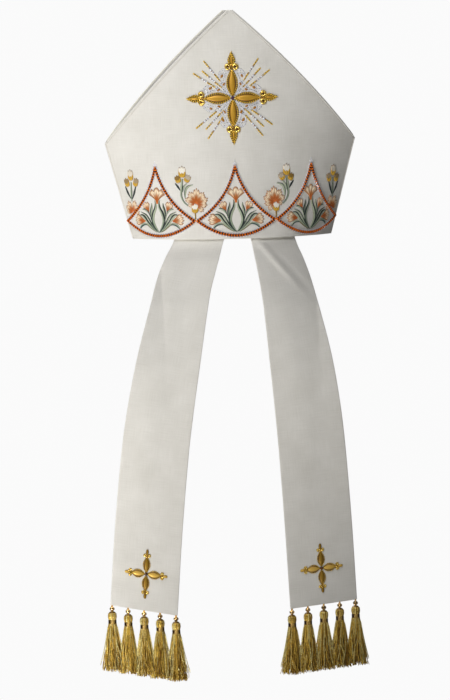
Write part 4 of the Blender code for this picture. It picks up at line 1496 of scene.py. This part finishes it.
def make_lappet_cross(which):
    lay = lappet_lay(which)
    work, purl = Needlework(lay), Needlework(lay)
    edge = Laid(lay)
    for turns in range(4):
        # Upright arms and their buds take the darker satin, level arms the paler: painted shade and painted
        # sheen by the stitches' direction.
        k, half, gold = ((1.0, 3.6, SATIN_PAINTED_SHADE), (0.87, 4.2, SATIN_PAINTED_SHEEN))[turns % 2]
        padded_form(work, edge, 3.2 * k, 19.8 * k, half, ALMOND_SHARES, turns, 1.8, LAPPET_TOOTH, gold)
        for flip in (-1, 1):
            curl(purl, (2.5, 22.7 * k), 1.35, 1.05, turns, flip)
        bud = quarter([(0, 24.0 * k), (0, 27.0 * k), (0, 30.2 * k)], turns)
        work.satin(bud, (1.2, 1.9, 2.0, 1.8, 1.1), 1.6, colour_with_painted_edge_shade(gold), rows=10)
        neck = quarter([(0, 19.6 * k), (0, 21.4 * k), (0, 23.8 * k)], turns)
        purl.satin(neck, (0.7, 0.9, 1.0), 1.2, colour_with_painted_edge_shade(GOLD), rows=6)
    gem = Laid(lay)
    gem.add(np.array([[0.0, 0.0]]), np.array([[0.0, 1.0]]), (4.2, 4.2, 3.4), 0.12, 0.9)
    node = f"lappet_cross_{which}"
    dressed(work.make(f"{node}_satin", gold_satin), "gold_thread", node)
    dressed(purl.make(f"{node}_curls", gold_purl), "gold_thread")
    dressed(edge.make(f"{node}_cord", gold_stitch, STITCH), "gold_thread")
    dressed(gem.make(f"{node}_bead", dark_bead, LAPPET_BEAD), "orange_stone")


make_lappet_cross("left")
make_lappet_cross("right")

# %% [markdown]
# ## Tassels
# A tassel is a hank of metal thread hung by its middle: the threads come down over a ball,
# are bound tightly under it and fall as a skirt whose cut ends flare. A solid cone with
# grooves would look moulded, so each thread is a curve of its own. The script draws the
# threads' routes, and a small tree sweeps a round section along every one of them.

# %% The thread tree
def strand_tree():
    tree, inputs = new_tree("sweep_threads", ("Thread Radius", "Float"), ("Section Sides", "Int"))
    routes = add_node(tree, "GeometryNodeMeshToCurve", {"Mesh": inputs["Geometry"]}).outputs["Curve"]
    circle = {"Resolution": inputs["Section Sides"], "Radius": inputs["Thread Radius"]}
    section = add_node(tree, "GeometryNodeCurvePrimitiveCircle", circle).outputs["Curve"]
    swept = {"Curve": routes, "Profile Curve": section, "Fill Caps": True}
    return end_tree(tree, add_node(tree, "GeometryNodeCurveToMesh", swept).outputs["Mesh"], inputs)


def route_mesh(routes, colours):
    """A bare mesh of edges, one chain for each thread, with each thread's colour."""
    steps = routes.shape[1]
    start = np.arange(routes.shape[0])[:, None] * steps + np.arange(steps - 1)[None, :]
    edges = np.stack([start, start + 1], axis=-1).reshape(-1, 2)
    mesh = bpy.data.meshes.new("routes")
    mesh.from_pydata(routes.reshape(-1, 3).tolist(), edges.tolist(), [])
    colour_points(mesh, np.broadcast_to(colours, routes.shape).reshape(-1, 3))
    return mesh


def make_metal_thread(name, roughness, metallic, grain):
    """Metal thread that takes its colour from the piece and varies with place."""
    material, tree, shader = new_material(name, Roughness=roughness, Metallic=metallic)
    noise = place_noise(tree, grain)
    join_shader(tree, shader, own_colour(tree, noise, 0.30, 1.75), noise, 0.6, 0.0003)
    return material


THREAD_TREE = strand_tree()
tassel_thread = make_metal_thread("tassel_thread", 0.33, 0.45, 1400)
bead_metal = make_metal_thread("bead_metal", 0.14, 0.95, 160)

# %% Where each tassel hangs
TASSEL_INSET = 0.0020
TASSEL_LENGTH = 0.0720
TASSEL_HALF_WIDTH = 0.0097
TASSEL_HALF_DEPTH = 0.0085
BEAD_RADIUS = 0.0026
BEAD_STEM = 0.0014
TASSEL_FORM = (
    # down, reach
    (0.000, 0.12), (0.008, 0.34), (0.022, 0.46), (0.055, 0.53), (0.100, 0.54), (0.135, 0.50), (0.150, 0.44),
    (0.190, 0.46), (0.230, 0.53), (0.450, 0.76), (0.780, 1.02), (1.000, 1.16),
)


def hung(start, down, aside=0.0, deep=0.0):
    """Points at these distances down, aside and deep from a start. Everything hangs plumb."""
    down, aside, deep = np.broadcast_arrays(down, aside, deep)
    return start + np.stack([aside, deep, -down], axis=-1)


def hanging_places(which, number):
    """The tops of a bead and of the tassel below it."""
    pitch = (LAPPET_WIDTH - 2 * TASSEL_INSET) / 4
    across = LAPPET_WIDTH / 2 - TASSEL_INSET - number * pitch
    edge = on_lappet(which, 1.0, -across, -LAPPET_WALL / 2).reshape(3)
    bead = hung(edge, SEAM_GAP)
    return bead, hung(bead, BEAD_STEM + 2 * BEAD_RADIUS + SEAM_GAP)


def turned_form(name, start, rings, sides, material, colour_of, flat=1.0):
    """A closed turned form. rings: rows of distance down and radius, in metres."""
    rings = np.array(rings)
    angle = np.linspace(0, 2 * math.pi, sides, endpoint=False)[None, :]
    down, radius = rings[:, :1], rings[:, 1:2]
    points = hung(start, down + 0 * angle, radius * np.cos(angle), radius * flat * np.sin(angle))
    colours = np.broadcast_to(colour_of(angle + 0 * down), points.shape)
    uvs = np.stack([(angle + 0 * down) * 0.005, down + 0 * angle], axis=-1)
    return outwards(new_object(
        name, points.reshape(-1, 3), ring_faces(len(rings), sides), material,
        uvs.reshape(-1, 2), colours.reshape(-1, 3),
    ))


def joined(name, pieces):
    with bpy.context.temp_override(
        active_object=pieces[0], object=pieces[0], selected_objects=pieces, selected_editable_objects=pieces
    ):
        bpy.ops.object.join()
    pieces[0].name = name
    return pieces[0]


# %% Draw the threads and bind each tassel
HEAD_THREADS = 84
INNER_THREADS = 110
THREAD_LAYERS = (
    # threads, start, least share of the reach, steps
    (HEAD_THREADS, 0.0, 0.97, 17),
    (INNER_THREADS, 0.17, 0.5, 10),
)
STRAY_THREADS = 9
STRAY_START = 0.3
STRAY_REACH = 0.011
THREAD_RADIUS = 0.00038
NECK_BAND = (0.140, 0.222)
BAND_REACH = 0.00485
BAND_RIDGE = 0.00022
BAND_RIDGES = 7
BAND_END_DROP = 0.0009
THREAD_COLOURS = np.array([(0.92, 0.62, 0.11), (1.00, 0.84, 0.34), (0.34, 0.18, 0.02), (0.78, 0.50, 0.09)])
# The core is dark: painted shade seen between the threads.
CORE_PAINTED_SHADE = (0.20, 0.11, 0.02)
BEAD_COLOUR = (0.74, 0.49, 0.21)
# Painted shade for the binding's flanks, and a painted highlight for its front and back.
BAND_PAINTED_SHADE, BAND_PAINTED_HIGHLIGHT = (0.045, 0.018, 0.004), (0.60, 0.38, 0.10)
LOOP_COLOUR = (0.85, 0.44, 0.02)
LOOP_HALF_WIDTH = 0.00075
TASSEL_THREAD = {"Thread Radius": THREAD_RADIUS, "Section Sides": 5, "Finish": tassel_thread}
LOOP_THREAD = {"Thread Radius": 0.00055, "Section Sides": 8, "Finish": tassel_thread}


def thread_routes(top, seed):
    """Every thread's route and colour: outer ones from the top, inner ones from the neck."""
    dice = np.random.default_rng(seed)
    form = np.array(TASSEL_FORM)
    groups = []
    for count, start, least, steps in THREAD_LAYERS:
        s = start + (1 - start) * np.linspace(0, 1, steps)[None, :] ** 1.15
        if start:
            angle = dice.uniform(0, 2 * math.pi, (count, 1))
        else:
            angle = np.arange(count)[:, None] * 2 * math.pi / count
        skirt = np.clip((s - 0.2) / 0.8, 0, 1)
        layer = dice.uniform(least, 1.0, (count, 1))
        loose = 1 + dice.normal(0, 0.15, (count, 1)) * skirt**1.5
        twist = angle + dice.normal(0, 0.5, (count, 1)) * skirt
        twist = twist + dice.normal(0, 0.07, (count, 1)) * np.sin(s * 14)
        reach = np.interp(s, form[:, 0], form[:, 1]) * layer * loose
        end = 1 + dice.normal(0, 0.022, (count, 1)) * skirt
        wave = dice.uniform(0.0003, 0.0012, (count, 1)) * skirt
        turn = dice.uniform(0, 6.28, (count, 1))
        aside = reach * TASSEL_HALF_WIDTH * np.cos(twist) + wave * np.sin(s * 16 + turn)
        deep = reach * TASSEL_HALF_DEPTH * np.sin(twist) + wave * np.cos(s * 13 + turn)
        down = np.minimum(s * end, 1.02) * TASSEL_LENGTH
        routes = hung(top, down, aside, deep)
        colour = THREAD_COLOURS[dice.integers(0, 4, count)][:, None, :]
        colour = colour * dice.uniform(0.8, 1.1, (count, 1, 1))
        shade = 1 - 0.35 * (1 - layer) / 0.5
        groups.append((routes, colour * shade[..., None]))
    strays = dice.uniform(-1, 1, (STRAY_THREADS, 1))
    s = np.linspace(STRAY_START, 0.98, 10)[None, :]
    lift = np.interp(s, form[:, 0], form[:, 1]) * TASSEL_HALF_WIDTH
    aside = np.sign(strays) * (lift + (s - STRAY_START) ** 2 * STRAY_REACH * np.abs(strays))
    down = s * TASSEL_LENGTH * dice.uniform(0.86, 1.0, (STRAY_THREADS, 1))
    deep = dice.uniform(-0.5, 0.1, (STRAY_THREADS, 1)) * TASSEL_HALF_DEPTH + 0 * s
    groups.append((hung(top, down, aside, deep), THREAD_COLOURS[1]))
    return groups


def band_painted_light(angle):
    """Painted light: dark at both flanks as painted shade, gold at the front and back as a painted highlight
    on the shiny wrap.
    """
    return blend(BAND_PAINTED_SHADE, BAND_PAINTED_HIGHLIGHT, step_up(np.abs(np.sin(angle)), 0.84, 0.95))


def make_tassel(node, top, seed):
    """Loose threads over a solid core painted dark as shade between them, bound at the neck, joined as one
    piece.
    """
    name = f"{node}_threads"
    parts = [
        grown(name, route_mesh(routes, colours), THREAD_TREE, TASSEL_THREAD)
        for routes, colours in thread_routes(top, seed)
    ]
    form = np.array(TASSEL_FORM)
    keep = np.where(form[:, 0] < 0.2, 0.9, 0.66)
    core = np.stack([form[:, 0] * 0.94 * TASSEL_LENGTH, form[:, 1] * keep * TASSEL_HALF_WIDTH], axis=1)
    flat = TASSEL_HALF_DEPTH / TASSEL_HALF_WIDTH
    parts.append(turned_form(f"{node}_core", top, core, 16, tassel_thread, lambda angle: CORE_PAINTED_SHADE, flat))
    turns = np.linspace(0, 1, 29)
    down = (NECK_BAND[0] + (NECK_BAND[1] - NECK_BAND[0]) * turns) * TASSEL_LENGTH
    ridges = BAND_RIDGE * np.abs(np.sin(turns * math.pi * BAND_RIDGES))
    reach = BAND_REACH + ridges - BAND_END_DROP * (np.abs(turns * 2 - 1) ** 8)
    band = np.stack([down, reach], axis=1)
    parts.append(turned_form(f"{node}_band", top, band, 28, tassel_thread, band_painted_light, 0.95))
    dressed(joined(name, parts), "gold_thread", node)


def make_bead(node, top):
    """A metal bead, and the orange loop of thread that it hangs by."""
    turns = np.linspace(0.28, 2.9, 16)
    down = BEAD_STEM + BEAD_RADIUS * (1 - np.cos(turns))
    rings = np.stack([down, BEAD_RADIUS * 1.2 * np.sin(turns)], axis=1)
    bead = turned_form(f"{node}_metal", top, rings, 24, bead_metal, lambda angle: BEAD_COLOUR)
    arch = np.linspace(-1, 1, 11)
    down = BEAD_STEM * 1.9 - (1 - arch**2) * BEAD_STEM * 2.6
    loop = hung(top, down, np.sign(arch) * LOOP_HALF_WIDTH * np.abs(arch) ** 0.6, -0.0006)
    thread = grown("loop", route_mesh(loop[None], LOOP_COLOUR), THREAD_TREE, LOOP_THREAD)
    dressed(joined(f"{node}_metal", [bead, thread]), "gold_metal", node)


for which in ("left", "right"):
    for number in range(5):
        bead_top, tassel_top = hanging_places(which, number)
        seed = 100 * (which == "right") + number
        make_tassel(f"tassel_{which}_{number + 1}", tassel_top, seed)
        make_bead(f"tassel_bead_{which}_{number + 1}", bead_top)

# %% [markdown]
# ## Edges of the panels
# The panels' edges are bound with a narrow welt of the same cloth, which shows as a thin
# raised line along each upper edge and each side seam. Small tacking stitches run beside
# it, dark as painted shade of the groove there, and a round piping follows the upper edge,
# where the panel and the crown meet. The front piping is paler than the back one: a
# painted highlight.

# %% Bind the edges
WELT_INSET = 0.95
TACK_INSET = 2.3
TACK_PITCH = 1.5
TACK_STITCH = (1.4, 0.5, 0.3)
PIPING_RADIUS = 0.0011
PIPING_RISE = 0.0002
# The tack stitches are grey-brown: painted shade of the groove beside the welt.
tack_stitch_painted_shade = make_thread_stitch("tack_stitch_painted_shade", (0.62, 0.58, 0.50), (0.34, 0.30, 0.25), 0.7, 0.0)


def flat_edges():
    """The right upper edge and right side seam, flat, in millimetres from the middle."""
    half, height = upper_edge(np.linspace(0.012, 0.985, 40))
    across = edge_angle(half, height, 0.0) * arc_radius(height)
    seam_height = np.linspace(0.0015, CORNER_HEIGHT - 0.001, 30)
    seam = seam_angle(seam_height, 0.0) * arc_radius(seam_height)
    return np.stack([across, height], axis=1) / MM, np.stack([seam, seam_height], axis=1) / MM


def make_welts(side):
    """The welt, the tacks beside it and the piping of one panel."""
    work = Needlework(back_lay(side))
    tacks = Laid(work.lay)
    for line in flat_edges():
        inset = line + sideways(line) * WELT_INSET
        for flip in (1, -1):
            work.satin(inset * (flip, 1), (0.8,) * 5, 0.45, (1, 1, 1), rows=120, columns=7, base=0.02)
            seam = (line + sideways(line) * TACK_INSET) * (flip, 1)
            # Tacks in the darker stitch: painted shade along the welt's groove.
            tacks.line(seam, TACK_PITCH, TACK_STITCH, (0.5,))
    name = SIDE_NAMES[side]
    half, height = upper_edge(np.linspace(0.004, 0.996, 61))
    across = edge_angle(half, height, PANEL_WALL) * arc_radius(height)
    right = on_panel(across, height + PIPING_RISE, -PANEL_WALL / 2, side)
    routes = np.stack([right, right * (-1, 1, 1)])
    # The front piping takes the paler cloth as a painted highlight; the back piping takes the panels' cream.
    binding = {BACK: cream_cloth, FRONT: piping_cloth_painted_highlight}[side]
    values = {"Thread Radius": PIPING_RADIUS, "Section Sides": 10, "Finish": binding}
    piping = grown(f"edge_piping_{name}", route_mesh(routes, (1, 1, 1)), THREAD_TREE, values)
    dressed(piping, "cream_cloth")
    dressed(work.make(f"edge_welt_{name}", edge_cloth), "cream_cloth")
    dressed(tacks.make(f"edge_tacks_painted_shade_{name}", tack_stitch_painted_shade, STITCH), "cream_cloth")


make_welts(BACK)
make_welts(FRONT)
